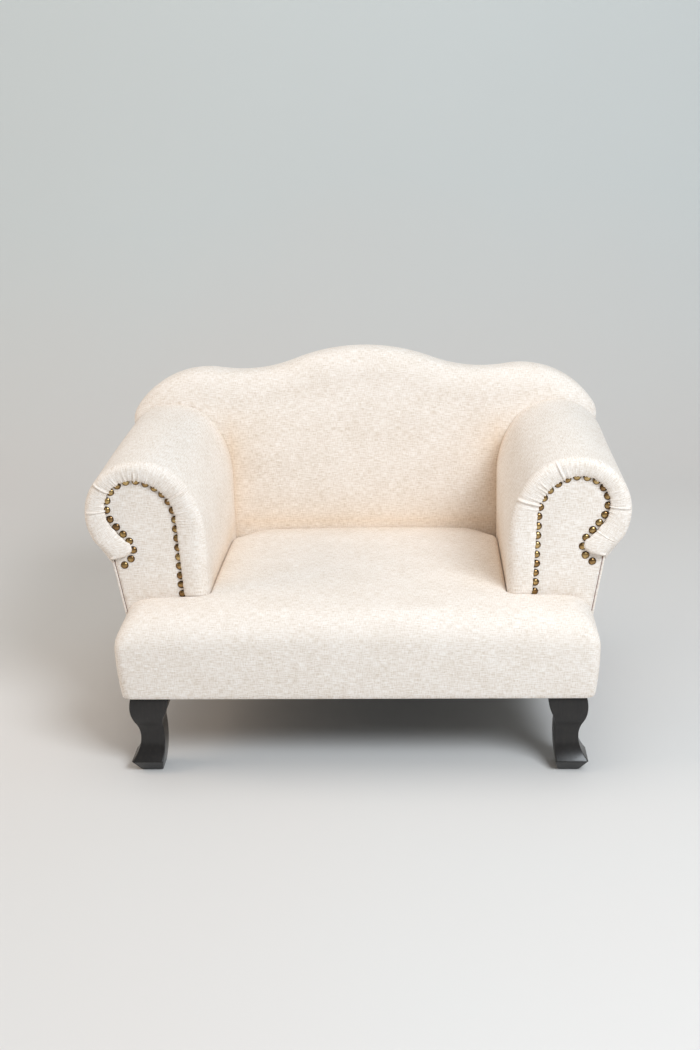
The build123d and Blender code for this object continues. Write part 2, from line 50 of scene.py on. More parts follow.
# ---- Sizes, the same as the CAD model's ----
GAP = 0.0004
DECK_TOP = 0.1977  # seat deck, under the upholstery
ARM_FOOT_Z = DECK_TOP + GAP
BASE_BOTTOM = 0.1167
BASE_HALF_WIDTH = 0.318
LEG_TOP = 0.1155
LEG_SIDE = 0.053  # square block that each leg is sawn from
LEG_CORNER_X = 0.319  # the block's outer corner, in front and at the rear
LEG_FRONT_Y = -0.240
LEG_REAR_Y = 0.243
SEAT_HEIGHT = 0.2425
SEAT_CREST_Y = -0.150
SEAT_CROWN_R = 6.6
SEAT_FALL_R = 3.145
ARM_INNER_X = 0.213
SCROLL_R = 0.0795
SCROLL_X = 0.304
SCROLL_Z = 0.3575
HOLLOW_R = 0.150
HOLLOW_TURN = math.degrees(math.acos((HOLLOW_R - 0.091) / (HOLLOW_R - SCROLL_R)))
HOLLOW_Z = SCROLL_Z - (HOLLOW_R - SCROLL_R) * math.sin(math.radians(HOLLOW_TURN))
ARM_LEAN = math.radians(9.3)
ARM_FOOT_X = 0.322
ARM_REAR_Y = 0.1767
CREASE_Z = 0.2835  # under the scroll, where it meets the outside panel
LIP_FRONT_Y = -0.159
FACING_Y = -0.147
BOARD_Y = -0.143
BACK_FRONT_Y = 0.177
BACK_REAR_Y = 0.249
BACK_TOP = 0.5185
BACK_STEPS = [(0.305, -21.2), (0.2286, 30.4), (0.138, -66.1), (0.0367, -43.0)]
BACK_LEAN = math.radians(9.9)
BACK_PANEL_IN = 0.0138  # edge of the outside panel, in from the outline
NAIL_HEADING = 88.0
NAIL_FOOT = (0.2512, 0.2375)
NAIL_STEPS = [(0.1117, 0), (0.060, -80.8), (0.039, -136.0), (0.0327, 0), (0.022, 89.5), (0.012, 0)]
NAIL_POINTS = (110, 60, 70, 24, 24, 10)
NAIL_PITCH = 0.014
NAIL_COUNT = 27
NAIL_R = 0.00575
NAIL_RISE = 0.0031
FACING_MARGIN = 0.0068  # padded lip's edge outside the middle of the nail row


# ---- Outlines ----
def sine(degrees):
    return math.sin(math.radians(degrees))


def quarter(count, first=0):
    """Steps of a quarter turn, from the given one on: share of the way, cosine and sine."""
    for t in np.linspace(0, 1, count)[first:]:
        yield t, math.cos(t * math.pi / 2), math.sin(t * math.pi / 2)


def left_of(heading):
    """Unit vector to the left of a heading in radians."""
    return np.array([-math.sin(heading), math.cos(heading)])


def trace(start, heading, steps, counts):
    """Points and left-hand normals along straight runs and tangent arcs; a step is (size, turn in degrees)."""
    ahead = math.radians(heading)
    point = np.array(start, dtype=float)
    points, normals = [point], [left_of(ahead)]
    for (size, turn), count in zip(steps, counts):
        if turn:
            side = math.copysign(1, turn)
            centre = point + side * size * left_of(ahead)
            for k in range(1, count + 1):
                now = ahead + math.radians(turn) * k / count
                points.append(centre - side * size * left_of(now))
                normals.append(left_of(now))
            ahead += math.radians(turn)
        else:
            step = np.array([math.cos(ahead), math.sin(ahead)]) * size
            for k in range(1, count + 1):
                points.append(point + step * k / count)
                normals.append(left_of(ahead))
        point = points[-1]
    return np.array(points), np.array(normals)


def lengths(points):
    """Distance along a row of points."""
    return np.concatenate([[0], np.cumsum(np.linalg.norm(np.diff(points, axis=0), axis=1))])


def at(points, along, where):
    """Points at given distances along a row of points."""
    return np.stack([np.interp(where, along, points[:, k]) for k in range(points.shape[1])], axis=1)


def at_even(points, spacing):
    """A closed outline's points at even distances."""
    closed = np.vstack([points, points[:1]])
    along = lengths(closed)
    count = max(8, int(along[-1] / spacing))
    return at(closed, along, np.linspace(0, along[-1], count, endpoint=False))


def smoothstep(x, low, high):
    t = np.clip((np.asarray(x, dtype=float) - low) / (high - low), 0, 1)
    return t * t * (3 - 2 * t)


def inside(polygon, points):
    """Which points are inside a polygon."""
    x, y = points[:, 0], points[:, 1]
    found = np.zeros(len(points), dtype=bool)
    for (x0, y0), (x1, y1) in zip(polygon, np.roll(polygon, -1, axis=0)):
        crosses = (y0 > y) != (y1 > y)
        if y1 != y0:
            found ^= crosses & (x < (x1 - x0) * (y - y0) / (y1 - y0) + x0)
    return found


def off_edge(polygon, points):
    """Distance from each point to a polygon's edge."""
    best = np.full(len(points), 1e9)
    for a, b in zip(polygon, np.roll(polygon, -1, axis=0)):
        run = b - a
        t = np.clip(((points - a) @ run) / max(run @ run, 1e-12), 0, 1)
        best = np.minimum(best, np.linalg.norm(points - a - t[:, None] * run, axis=1))
    return best


def fill(polygon, spacing):
    """Triangles that fill a polygon. Returns all points, the polygon's own first, and the triangles."""
    low, high = polygon.min(axis=0), polygon.max(axis=0)
    places = [np.arange(low[k] + spacing / 2, high[k], spacing) for k in (0, 1)]
    grid = np.stack(np.meshgrid(*places), axis=-1).reshape(-1, 2)
    grid = grid[inside(polygon, grid)]
    grid = grid[off_edge(polygon, grid) > spacing * 0.6]
    points = np.vstack([polygon, grid])
    n = len(polygon)
    edges = [(k, (k + 1) % n) for k in range(n)]
    _, _, faces, origin, _, _ = delaunay_2d_cdt([Vector(p) for p in points], edges, [], 1, 1e-7)
    to_input = [o[0] for o in origin]
    return points, [tuple(to_input[k] for k in face) for face in faces]


def from_edge(loop, points):
    """How far in from the loop the points that fill it are; its own points are first."""
    off = off_edge(loop, points)
    off[:len(loop)] = 0
    return off


# ---- Materials ----
THREAD_PITCH = 0.00125
# Strength and reach of the painted warm shade in the seams between seat, arms and back.
PAINTED_SEAM_SHADE = 0.42
PAINTED_SEAM_SHADE_REACH = 0.030


class Graph:
    """Short calls for building a material's nodes."""

    def __init__(self, name):
        self.material = bpy.data.materials.new(name)
        self.material.use_nodes = True
        self.nodes = self.material.node_tree.nodes
        self.shader = self.nodes["Principled BSDF"]
        self.place = self.add("ShaderNodeTexCoord").outputs["Object"]

    def add(self, kind, **values):
        node = self.nodes.new(kind)
        for key, value in values.items():
            if hasattr(node, key):
                setattr(node, key, value)
            else:
                node.inputs[key].default_value = value
        return node

    def feed(self, value, socket):
        """Gives a socket a number, a colour or what another node puts out."""
        if isinstance(value, tuple):
            socket.default_value = (*value, 1)
        elif isinstance(value, (int, float)):
            socket.default_value = value
        else:
            self.material.node_tree.links.new(value, socket)

    def set(self, values):
        for key, value in values.items():
            self.shader.inputs[key].default_value = value

    def finish(self, colour, roughness, normal=None):
        """Wires the shader up and returns the material."""
        self.feed(colour, self.shader.inputs["Base Color"])
        self.feed(roughness, self.shader.inputs["Roughness"])
        if normal is not None:
            self.feed(normal, self.shader.inputs["Normal"])
        return self.material

    def math(self, operation, *values, clamp=False):
        node = self.add("ShaderNodeMath", operation=operation, use_clamp=clamp)
        for socket, value in zip(node.inputs, values):
            self.feed(value, socket)
        return node.outputs[0]

    def plus(self, a, b):
        return self.math("ADD", a, b)

    def times(self, a, b):
        return self.math("MULTIPLY", a, b)

    def apart(self, a, b):
        return self.math("ABSOLUTE", self.math("SUBTRACT", a, b))

    def split(self, vector):
        node = self.add("ShaderNodeSeparateXYZ")
        self.feed(vector, node.inputs[0])
        return node.outputs

    def noise(self, vector, scale, detail=2.0, roughness=0.5):
        node = self.add("ShaderNodeTexNoise", Scale=scale, Detail=detail, Roughness=roughness)
        self.feed(vector, node.inputs["Vector"])
        return node.outputs["Fac"]

    def stretched_noise(self, vector, scale, detail=2.0, roughness=0.5, offset=(0, 0, 0)):
        """Noise with its own scale along each axis."""
        node = self.add("ShaderNodeMapping", Scale=scale, Location=offset)
        self.feed(vector, node.inputs["Vector"])
        return self.noise(node.outputs["Vector"], 1.0, detail, roughness)

    def stretch(self, value, low, high):
        """The value from low to high as 0 to 1."""
        node = self.add("ShaderNodeMapRange", **{"From Min": low, "From Max": high})
        self.feed(value, node.inputs["Value"])
        return node.outputs["Result"]

    def ramp(self, factor, stops):
        node = self.add("ShaderNodeValToRGB")
        elements = node.color_ramp.elements
        while len(elements) < len(stops):
            elements.new(0.5)
        for element, (position, colour) in zip(elements, stops):
            element.position = position
            element.color = (*colour, 1)
        self.feed(factor, node.inputs["Fac"])
        return node.outputs["Color"]

    def mix(self, factor, a, b, blend="MIX"):
        node = self.add("ShaderNodeMix", data_type="RGBA", blend_type=blend)
        for k, value in ((0, factor), (6, a), (7, b)):
            self.feed(value, node.inputs[k])
        return node.outputs[2]

    def bump(self, height, distance, strength=1.0, normal=None):
        node = self.add("ShaderNodeBump", Strength=strength, Distance=distance)
        self.feed(height, node.inputs["Height"])
        if normal is not None:
            self.feed(normal, node.inputs["Normal"])
        return node.outputs["Normal"]


def srgb(r, g, b):
    """Linear colour from an 8-bit display colour."""
    return tuple((v / 255 / 12.92) if v <= 10 else ((v / 255 + 0.055) / 1.055) ** 2.4 for v in (r, g, b))


def painted_seam_shade(g):
    """Mask of the painted warm shade: 1 deep in the seams between seat, arms and back, where the cloth only gets light
    from more cloth.
    """
    x, y, z = g.split(g.place)
    wide = g.math("ABSOLUTE", x)
    off_arm = g.apart(wide, ARM_INNER_X)
    off_back = g.apart(y, BACK_FRONT_Y)
    off_seat = g.apart(z, SEAT_HEIGHT - 0.006)
    under_roll = g.stretch(z, 0.430, 0.370)
    between_arms = g.stretch(wide, 0.230, 0.215)
    behind_ears = g.stretch(y, -0.150, -0.090)
    in_front = g.stretch(y, BACK_FRONT_Y + 0.012, BACK_FRONT_Y + 0.004)
    seam_shade = None
    for a, b, limit in ((off_arm, off_back, under_roll), (off_back, off_seat, between_arms),
                        (off_arm, off_seat, behind_ears)):
        near = g.times(g.math("POWER", 2.718, g.times(g.plus(a, b), -1 / PAINTED_SEAM_SHADE_REACH)), limit)
        seam_shade = near if seam_shade is None else g.math("MAXIMUM", seam_shade, near)
    return g.times(seam_shade, in_front)


def linen(name):
    """Slubby plain-weave linen: threads both ways, short slubs, flecks, soft mottling, and painted warm shade in its
    seams.
    """
    g = Graph(name)
    uv = g.add("ShaderNodeUVMap", uv_map="Weave").outputs["UV"]
    u, v, _ = g.split(uv)
    wander = g.times(g.stretched_noise(uv, (90, 90, 1), 1.0), 5.0)
    turn = 2 * math.pi / THREAD_PITCH
    u_phase = g.plus(g.times(u, turn), wander)
    v_phase = g.plus(g.times(v, turn), wander)
    over = g.times(g.math("SINE", v_phase), g.math("SINE", g.times(u_phase, 0.5)))
    under = g.times(g.math("SINE", u_phase), g.math("SINE", g.times(v_phase, 0.5)))
    weave = g.times(g.plus(over, under), 0.5)
    weft = g.stretched_noise(uv, (88, 820, 1), 2.0, 0.6)
    warp = g.stretched_noise(uv, (820, 120, 1), 2.0, 0.6, (3.1, 7.7, 0))
    speck = g.stretched_noise(uv, (240, 700, 1), 2.0, 0.7, (9.3, 1.2, 0))
    mottle = g.stretched_noise(uv, (16, 22, 1), 3.0, 0.6, (1.7, 4.4, 0))
    tone = g.plus(g.times(g.stretch(weft, 0.34, 0.66), 0.54), g.times(g.stretch(warp, 0.36, 0.64), 0.34))
    tone = g.plus(tone, g.times(g.stretch(mottle, 0.35, 0.65), 0.12))
    base = g.ramp(tone, [(0.10, srgb(218, 205, 190)), (0.50, srgb(240, 231, 222)), (0.88, srgb(254, 249, 244))])
    base = g.mix(g.times(g.stretch(speck, 0.62, 0.72), 0.30), base, srgb(200, 178, 154))
    # Painted shade: the seams are multiplied towards a warm tint, standing for the shade and warm bounce light between
    # the parts.
    base = g.mix(g.times(painted_seam_shade(g), PAINTED_SEAM_SHADE), base, srgb(242, 216, 180), "MULTIPLY")
    g.set({"Sheen Weight": 0.15, "Sheen Roughness": 0.45, "Specular IOR Level": 0.22})
    threads = g.bump(weave, 0.00012, 0.55)
    slubs = g.bump(g.plus(weft, g.times(warp, 0.7)), 0.0006, 0.38, threads)
    return g.finish(base, g.math("MULTIPLY_ADD", weft, 0.18, 0.78), g.bump(mottle, 0.0014, 0.30, slubs))


def black_lacquer():
    """Black satin lacquer over close-grained wood."""
    g = Graph("black_lacquer")
    grain = g.stretched_noise(g.place, (420, 420, 26), 4.0, 0.6)
    cloud = g.stretched_noise(g.place, (45, 45, 30), 3.0)
    colour = g.ramp(grain, [(0.35, srgb(15, 13, 13)), (0.60, srgb(25, 22, 21)), (0.74, srgb(38, 33, 30))])
    g.set({"Coat Weight": 0.30, "Coat Roughness": 0.16, "Specular IOR Level": 0.40})
    return g.finish(colour, g.math("MULTIPLY_ADD", cloud, 0.22, 0.27), g.bump(grain, 0.00025, 0.5))


def antique_brass():
    """Antique brass: dark in pits, bright where the dome is rubbed, and dark round the rim, partly patina and partly
    painted shade.
    """
    g = Graph("antique_brass")
    dome = g.add("ShaderNodeAttribute", attribute_name="dome").outputs["Fac"]
    patina = g.noise(g.place, 330.0, 4.0, 0.65)
    tint = g.noise(g.place, 55.0, 1.0)
    wear_and_rim_shade = g.math("ADD", dome, g.times(g.math("SUBTRACT", patina, 0.5), 0.7), clamp=True)
    gold = g.ramp(tint, [(0.40, srgb(150, 118, 78)), (0.52, srgb(176, 146, 96)), (0.62, srgb(200, 172, 118))])
    # The rim's dark colour is partly patina and partly painted shade where the dome meets the cloth.
    colour = g.mix(g.ramp(wear_and_rim_shade, [(0.04, (0, 0, 0)), (0.50, (1, 1, 1))]), srgb(66, 46, 30), gold)
    g.set({"Metallic": 1.0})
    return g.finish(colour, g.math("MULTIPLY_ADD", patina, 0.26, 0.12), g.bump(patina, 0.0002, 0.35))


def painted_seam_shadow():
    """Painted shadow: a reddish-brown line that stands for the shade in the tacking between the piping and the facing.
    """
    g = Graph("painted_seam_shadow")
    shadow_noise = g.stretched_noise(g.place, (900, 900, 500))
    return g.finish(g.ramp(shadow_noise, [(0.35, srgb(96, 52, 44)), (0.65, srgb(150, 98, 84))]), 0.9, g.bump(shadow_noise, 0.0002))


def black_cloth():
    """Thin black non-woven cloth with a pressed dot pattern."""
    g = Graph("black_cloth")
    dots = g.add("ShaderNodeTexVoronoi", Scale=520)
    g.feed(g.place, dots.inputs["Vector"])
    fibre = g.noise(g.place, 260.0, 4.0, 0.7)
    colour = g.ramp(fibre, [(0.3, srgb(24, 24, 25)), (0.7, srgb(52, 51, 52))])
    return g.finish(colour, 0.85, g.bump(dots.outputs["Distance"], 0.0003, 0.5))


def wood(name, light, dark, along):
    """Bare timber or ply with grain along an axis."""
    g = Graph(name)
    scale = [160, 160, 160]
    scale[along] = 7
    grain = g.stretched_noise(g.place, scale, 4.0, 0.65)
    fine = g.stretched_noise(g.place, [s * 3 for s in scale])
    tone = g.plus(g.times(grain, 0.75), g.times(fine, 0.25))
    return g.finish(g.ramp(tone, [(0.36, srgb(*dark)), (0.62, srgb(*light))]), 0.7, g.bump(tone, 0.0004, 0.5))


def zinc():
    """Zinc-plated steel."""
    g = Graph("zinc_steel")
    spangle = g.noise(g.place, 400.0, 3.0, 0.6)
    g.set({"Metallic": 1.0})
    return g.finish(g.ramp(spangle, [(0.3, srgb(150, 152, 155)), (0.7, srgb(196, 197, 198))]),
                    g.ramp(spangle, [(0.3, (0.3,) * 3), (0.7, (0.5,) * 3)]))


LINEN = linen("linen")
LACQUER = black_lacquer()
BRASS = antique_brass()
PAINTED_SHADOW_LINE = painted_seam_shadow()
CLOTH = black_cloth()
PINE = wood("pine", (226, 196, 150), (190, 152, 104), 0)
PLY = wood("plywood", (219, 190, 148), (184, 148, 104), 1)
ZINC = zinc()
# Each cloth piece is cut from its own place in the weave: how far its U is shifted.
SEAT_SIDES_U = 1.3
FACING_U = 2.1
ARM_END_U = 2.7
ARM_OUTSIDE_U = 3.3
BACK_U = 4.7
BACK_SIDES_U = 5.9
BACK_OUTSIDE_U = 7.0

# ---- Meshes ----
def smooth_mesh(name, points, faces):
    mesh = bpy.data.meshes.new(name)
    mesh.from_pydata([tuple(p) for p in points], [], faces)
    mesh.polygons.foreach_set("use_smooth", np.full(len(mesh.polygons), True))
    return mesh


def add_object(name, data):
    obj = bpy.data.objects.new(name, data)
    bpy.context.collection.objects.link(obj)
    return obj


def piece(name, points, faces, uvs, stands_for=(), material=LINEN):
    """A smooth mesh object with one UV in metres for each vertex, riding on the sofa."""
    mesh = smooth_mesh(name, points, faces)
    layer = mesh.uv_layers.new(name="Weave")
    corner = np.empty(len(mesh.loops), dtype=np.int32)
    mesh.loops.foreach_get("vertex_index", corner)
    layer.data.foreach_set("uv", np.asarray(uvs, dtype=np.float32)[corner].ravel())
    mesh.materials.append(material)
    mesh.validate()
    obj = add_object(name, mesh)
    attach(obj, "root")
    if stands_for:
        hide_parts(*stands_for)
    return obj


def grid_faces(rows, columns, closed=False, first=0):
    """Quads of a grid stored row by row; closed joins the last column to the first."""
    faces = []
    for r in range(rows - 1):
        for c in range(columns if closed else columns - 1):
            d = (c + 1) % columns
            a = first + r * columns
            faces.append((a + c, a + d, a + columns + d, a + columns + c))
    return faces


def capped_faces(rows, columns):
    """Quads of a closed grid, with one face over each end."""
    ends = [tuple(range(columns)), tuple(range((rows - 1) * columns, rows * columns))]
    return grid_faces(rows, columns, closed=True) + ends


def turned_over(faces):
    return [tuple(reversed(face)) for face in faces]


def cap(ring, polygon, spacing, taken):
    """Fills a polygon that starts with the mesh's own points in ring; taken is how many points the mesh has.
    Returns the points to add and the faces."""
    points, triangles = fill(polygon, spacing)
    extra = points[len(ring):]
    index = [*ring, *range(taken, taken + len(extra))]
    return extra, [tuple(index[k] for k in face) for face in triangles]


def row_across(outline, across, reach, y):
    """A grid's row: an outline's points moved across by their reach, at y."""
    xz = outline + across * np.broadcast_to(reach, len(outline))[:, None]
    return np.column_stack([xz[:, 0], np.broadcast_to(y, len(outline)), xz[:, 1]])


def grid_normals(grid):
    """Unit normals of a grid of points, rows by columns by 3."""
    normal = np.cross(np.gradient(grid, axis=1), np.gradient(grid, axis=0))
    return normal / np.maximum(np.linalg.norm(normal, axis=2, keepdims=True), 1e-9)


def grid_uv(grid, u_along_rows=True):
    """Mean distances in metres across and along a grid."""
    down = np.cumsum(np.linalg.norm(np.diff(grid, axis=0, prepend=grid[:1]), axis=2), axis=0).mean(axis=1)
    along = np.cumsum(np.linalg.norm(np.diff(grid, axis=1, prepend=grid[:, :1]), axis=2), axis=1).mean(axis=0)
    u, v = np.meshgrid(along, down)
    return np.stack((u, v) if u_along_rows else (v, u), axis=-1).reshape(-1, 2)


def fix_normals(obj):
    """Turns every face outward."""
    work = bmesh.new()
    work.from_mesh(obj.data)
    bmesh.ops.recalc_face_normals(work, faces=work.faces)
    work.to_mesh(obj.data)
    work.free()


def weave_on_sides(obj, steep, shift):
    """Faces that look sideways take their weave from depth and height."""
    mesh = obj.data
    layer = mesh.uv_layers["Weave"].data
    for polygon in mesh.polygons:
        if abs(polygon.normal.x) > steep:
            for k in polygon.loop_indices:
                p = mesh.vertices[mesh.loops[k].vertex_index].co
                layer[k].uv = (p.y + shift, p.z)


def covered_board(name, stands_for, loop, spacing, surface, wall_y, shift, side=1):
    """Cloth over a board: surface gives its y for the distance from the edge; a wall round it goes to wall_y."""
    flat, faces = fill(loop, spacing)
    cloth = np.column_stack([flat[:, 0], surface(from_edge(loop, flat)), flat[:, 1]])
    n, first = len(loop), len(cloth)
    points = np.vstack([cloth, np.column_stack([loop[:, 0], np.full(n, wall_y), loop[:, 1]])])
    faces += [(k, (k + 1) % n, first + (k + 1) % n, first + k) for k in range(n)]
    obj = piece(name, points * [side, 1, 1], faces, points[:, [0, 2]] + [shift, 0], (stands_for,))
    fix_normals(obj)


def arm(side):
    return "right_arm" if side > 0 else "left_arm"


# ---- Seat ----
SEAT_X = 0.336
STEM_X = 0.2126
EAR_FRONT_Y = -0.249
EAR_REAR_Y = -0.148
STEM_REAR_Y = 0.1764
EDGE_R = 0.042
EAR_REAR_R = 0.016
STEM_R = 0.009
STEM_REAR_R = 0.006
BORDER_R = 0.700
BORDER_HEIGHT = 0.083
HEM_IN = 0.020  # how far the hem goes in under the base
CORNER_DROP = 0.011  # pull on the cover between arm and back
# Sides in order round the seat: the fixed coordinate, its value, outward sign, edge radius, border bulge, points.
SEAT_SIDES = [
    ("y", EAR_FRONT_Y, -1, EDGE_R, 1, 90),
    ("x", SEAT_X, 1, EDGE_R, 1, 12),
    ("y", EAR_REAR_Y, 1, EAR_REAR_R, 0, 18),
    ("x", STEM_X, 1, STEM_R, 0, 52),
    ("y", STEM_REAR_Y, 1, STEM_REAR_R, 0, 70),
    ("x", -STEM_X, -1, STEM_R, 0, 52),
    ("y", EAR_REAR_Y, 1, EAR_REAR_R, 0, 18),
    ("x", -SEAT_X, -1, EDGE_R, 1, 12),
]
# Corner after each side: radius, and growth of the radius with the inset.
SEAT_CORNERS = [(0.014, 0.20), (0.014, 0.15), (0.010, 1.0), (0.013, 1.0),
                (0.013, 1.0), (0.010, 1.0), (0.014, 0.15), (0.014, 0.20)]
CORNER_POINTS = 12
SEAT_FULLNESS = 0.0007
CLOTH_SPACING = 0.0105  # of points over the seat's top and the back's front


def border_bulge(below):
    """How far the border falls back from its fullest line, at a distance below that line."""
    return BORDER_R - math.sqrt(BORDER_R ** 2 - below ** 2)


def crown(x, y):
    """Height of the seat's top away from its edges."""
    return SEAT_HEIGHT - x * x / (2 * SEAT_CROWN_R) - (y - SEAT_CREST_Y) ** 2 / (2 * SEAT_FALL_R)


def ear_surface(points):
    """Height of the seat's ear under points, with its round rear edge; behind it, the height of that edge."""
    y = np.minimum(points[..., 1], EAR_REAR_Y)
    drop = np.clip(EAR_REAR_R - (EAR_REAR_Y - y), 0, EAR_REAR_R)
    return crown(points[..., 0], y) - (EAR_REAR_R - np.sqrt(np.maximum(EAR_REAR_R ** 2 - drop ** 2, 0)))


def seat_loop(rounding, bulge):
    """One loop round the seat: points, and each point's edge radius. rounding is how much of the edge radius
    the loop lies in by: 0 at the border, 1 on top."""
    n = len(SEAT_SIDES)
    insets = [radius * rounding + bulges * bulge for _, _, _, radius, bulges, _ in SEAT_SIDES]
    lines = [value - sign * inset for (_, value, sign, *_), inset in zip(SEAT_SIDES, insets)]
    corners, radii = [], []
    for k, (radius, growth) in enumerate(SEAT_CORNERS):
        pair = (lines[k], lines[(k + 1) % n])
        corners.append(np.array(pair if SEAT_SIDES[k][0] == "x" else pair[::-1]))
        radii.append(radius + growth * (insets[k] + insets[(k + 1) % n]) / 2)
    points, rounds = [], []
    for k in range(n):
        before, corner, after = corners[k - 1], corners[k], corners[(k + 1) % n]
        ahead = (corner - before) / np.linalg.norm(corner - before)
        follow = (after - corner) / np.linalg.norm(after - corner)
        start, end = before + ahead * radii[k - 1], corner - ahead * radii[k]
        own, next_own = SEAT_SIDES[k][3], SEAT_SIDES[(k + 1) % n][3]
        for t in np.linspace(0, 1, SEAT_SIDES[k][5], endpoint=False):
            points.append(start + (end - start) * t)
            rounds.append(own)
        centre = end + follow * radii[k]
        for t in np.linspace(0, 1, CORNER_POINTS, endpoint=False):
            turn = t * math.pi / 2
            points.append(centre - follow * radii[k] * math.cos(turn) + ahead * radii[k] * math.sin(turn))
            blend = float(smoothstep(t, 0, 1))
            rounds.append(own * (1 - blend) + next_own * blend)
    return np.array(points), np.array(rounds)


def make_seat():
    """Tight T-shaped seat with borders down over the base and a hem turned under."""
    rows = []
    tuck = border_bulge(BORDER_HEIGHT)
    for depth, z in ((HEM_IN, 0.0003), (HEM_IN / 2, 0.0003), (0.004, 0.0003), (0.0008, 0.0006)):
        points, _ = seat_loop(0, tuck + depth)
        rows.append(np.column_stack([points, np.full(len(points), LEG_TOP + z)]))
    for t in np.linspace(0.02, 1, 15):
        points, rounds = seat_loop(0, border_bulge((1 - t) * BORDER_HEIGHT))
        top = crown(points[:, 0], points[:, 1]) - rounds
        rows.append(np.column_stack([points, LEG_TOP + (top - LEG_TOP) * t]))
    for _, cos, sin in quarter(15, 1):
        points, rounds = seat_loop(1 - cos, 0)
        rows.append(np.column_stack([points, crown(points[:, 0], points[:, 1]) - rounds * (1 - sin)]))
    grid = np.array(rows)
    count = grid.shape[1]
    taken = len(rows) * count
    extra, top_faces = cap(range(taken - count, taken), grid[-1][:, :2], CLOTH_SPACING, taken)
    points = np.vstack([grid.reshape(-1, 3), np.column_stack([extra, crown(extra[:, 0], extra[:, 1])])])
    faces = grid_faces(len(rows), count, closed=True) + top_faces
    x, y, z = points.T
    # Behind the arms the borders only reach down to the deck.
    floor = DECK_TOP + 0.0008
    low = (y > EAR_REAR_Y - 0.012) & (np.abs(x) < BASE_HALF_WIDTH + 0.001) & (z < floor)
    faces = [face for face in faces if not all(low[k] for k in face)]
    z[low] = floor
    # The cover is pulled down into the rear corners between the arms and the back.
    corner_x, corner_y = (STEM_X - np.abs(x)) / 0.060, (STEM_REAR_Y - y) / 0.075
    pull = smoothstep(1 - np.hypot(np.maximum(corner_x, 0), np.maximum(corner_y, 0)), 0, 1)
    z -= np.where(z > DECK_TOP + 0.012, CORNER_DROP * pull ** 1.3, 0)
    # Soft fullness of the filling.
    calm = smoothstep(z, DECK_TOP + 0.02, DECK_TOP + 0.03)
    full = np.sin(x * 17 + 0.6) * np.sin(y * 23 + 1.1)
    z += SEAT_FULLNESS * full * calm * smoothstep(STEM_REAR_Y - y, 0.0, 0.05)
    obj = piece("seat_upholstery", points, faces, np.column_stack([x, z + y]), ("seat_cover", "seat_foam"))
    weave_on_sides(obj, 0.72, SEAT_SIDES_U)


# ---- Arms ----
ARM_COLUMNS = 560
END_ROUND = 0.0035  # rear edge of the roll
END_CLOTH_Y = ARM_REAR_Y + 0.00012
LIP_FULL = 0.011  # a lip at least this wide stands fully proud
CREST_IN = 0.0135  # the lip's crest, in from the outline
CREST_DEEP = 0.0130  # and how far back its round reaches
CREST_SHARE, WALL_SHARE = 0.42, 0.9  # how far over the lip the crest and the top of its inner wall are
OVERHANG = 0.0046  # of the lip over the nails
FOOT_ROUND = 0.0075
FOOT_TUCK = 0.15
GATHER_REACH = (0.05, 0.55)
GATHER_WIDTH = (0.0007, 0.0013)
GATHER_DEPTH = (0.0006, 0.0018)
GATHER_SLANT = 0.0025
GATHER_STEP = (0.0032, 0.0085)
NAIL_DENT = 0.00035
ROLL_FULLNESS = 0.0007
FACING_PUFF = 0.0011
# Angle round the scroll, strength, and how far down the lip the pleat starts.
RIGHT_PLEATS = [(110, 0.9, 0.10), (138, 0.5, 0.34), (165, 1.0, 0.02), (4, 0.8, 0.06), (-38, 0.35, 0.20)]
LEFT_PLEATS = [(38, 0.8, 0.02), (88, 0.6, 0.42), (150, 0.8, 0.04), (4, 0.55, 0.10)]
# A pleat's valley, and the folds beside it: height, place and width.
PLEAT_FORM = [(-0.0030, 0.0, 0.00085), (0.0011, 0.0024, 0.0019), (0.0005, -0.0028, 0.0022)]


def nail_path(margin, foot, tail=NAIL_STEPS[-1][0]):
    """The nail row moved outward by margin, from a height up to the chin under the scroll."""
    rise = (NAIL_FOOT[1] - foot) / math.sin(math.radians(NAIL_HEADING))
    start = (NAIL_FOOT[0] - rise * math.cos(math.radians(NAIL_HEADING)), foot)
    steps = [(NAIL_STEPS[0][0] + rise, 0)] + NAIL_STEPS[1:-1] + [(tail, 0)]
    points, normals = trace(start, NAIL_HEADING, steps, NAIL_POINTS)
    return points + margin * normals, normals


def arm_outside(z):
    """Where the outside of an arm leans to below its scroll."""
    return ARM_FOOT_X + (z - BASE_BOTTOM) * math.tan(ARM_LEAN)


def arm_outline():
    """The arm from the front: inner face, hollow and scroll, then straight down to its crease."""
    away = np.array([arm_outside(CREASE_Z) - SCROLL_X, CREASE_Z - SCROLL_Z])
    reach = np.linalg.norm(away)
    leaves = math.degrees(math.atan2(away[1], away[0]) + math.acos(SCROLL_R / reach))
    steps = [(HOLLOW_Z - ARM_FOOT_Z, 0), (HOLLOW_R, -HOLLOW_TURN), (SCROLL_R, leaves + HOLLOW_TURN - 180),
             (math.sqrt(reach ** 2 - SCROLL_R ** 2), 0)]
    return trace((ARM_INNER_X, ARM_FOOT_Z), 90, steps, (120, 90, 250, 40))[0]


def scroll_angle(points):
    """Degrees round the scroll's centre."""
    return np.degrees(np.arctan2(points[:, 1] - SCROLL_Z, points[:, 0] - SCROLL_X))


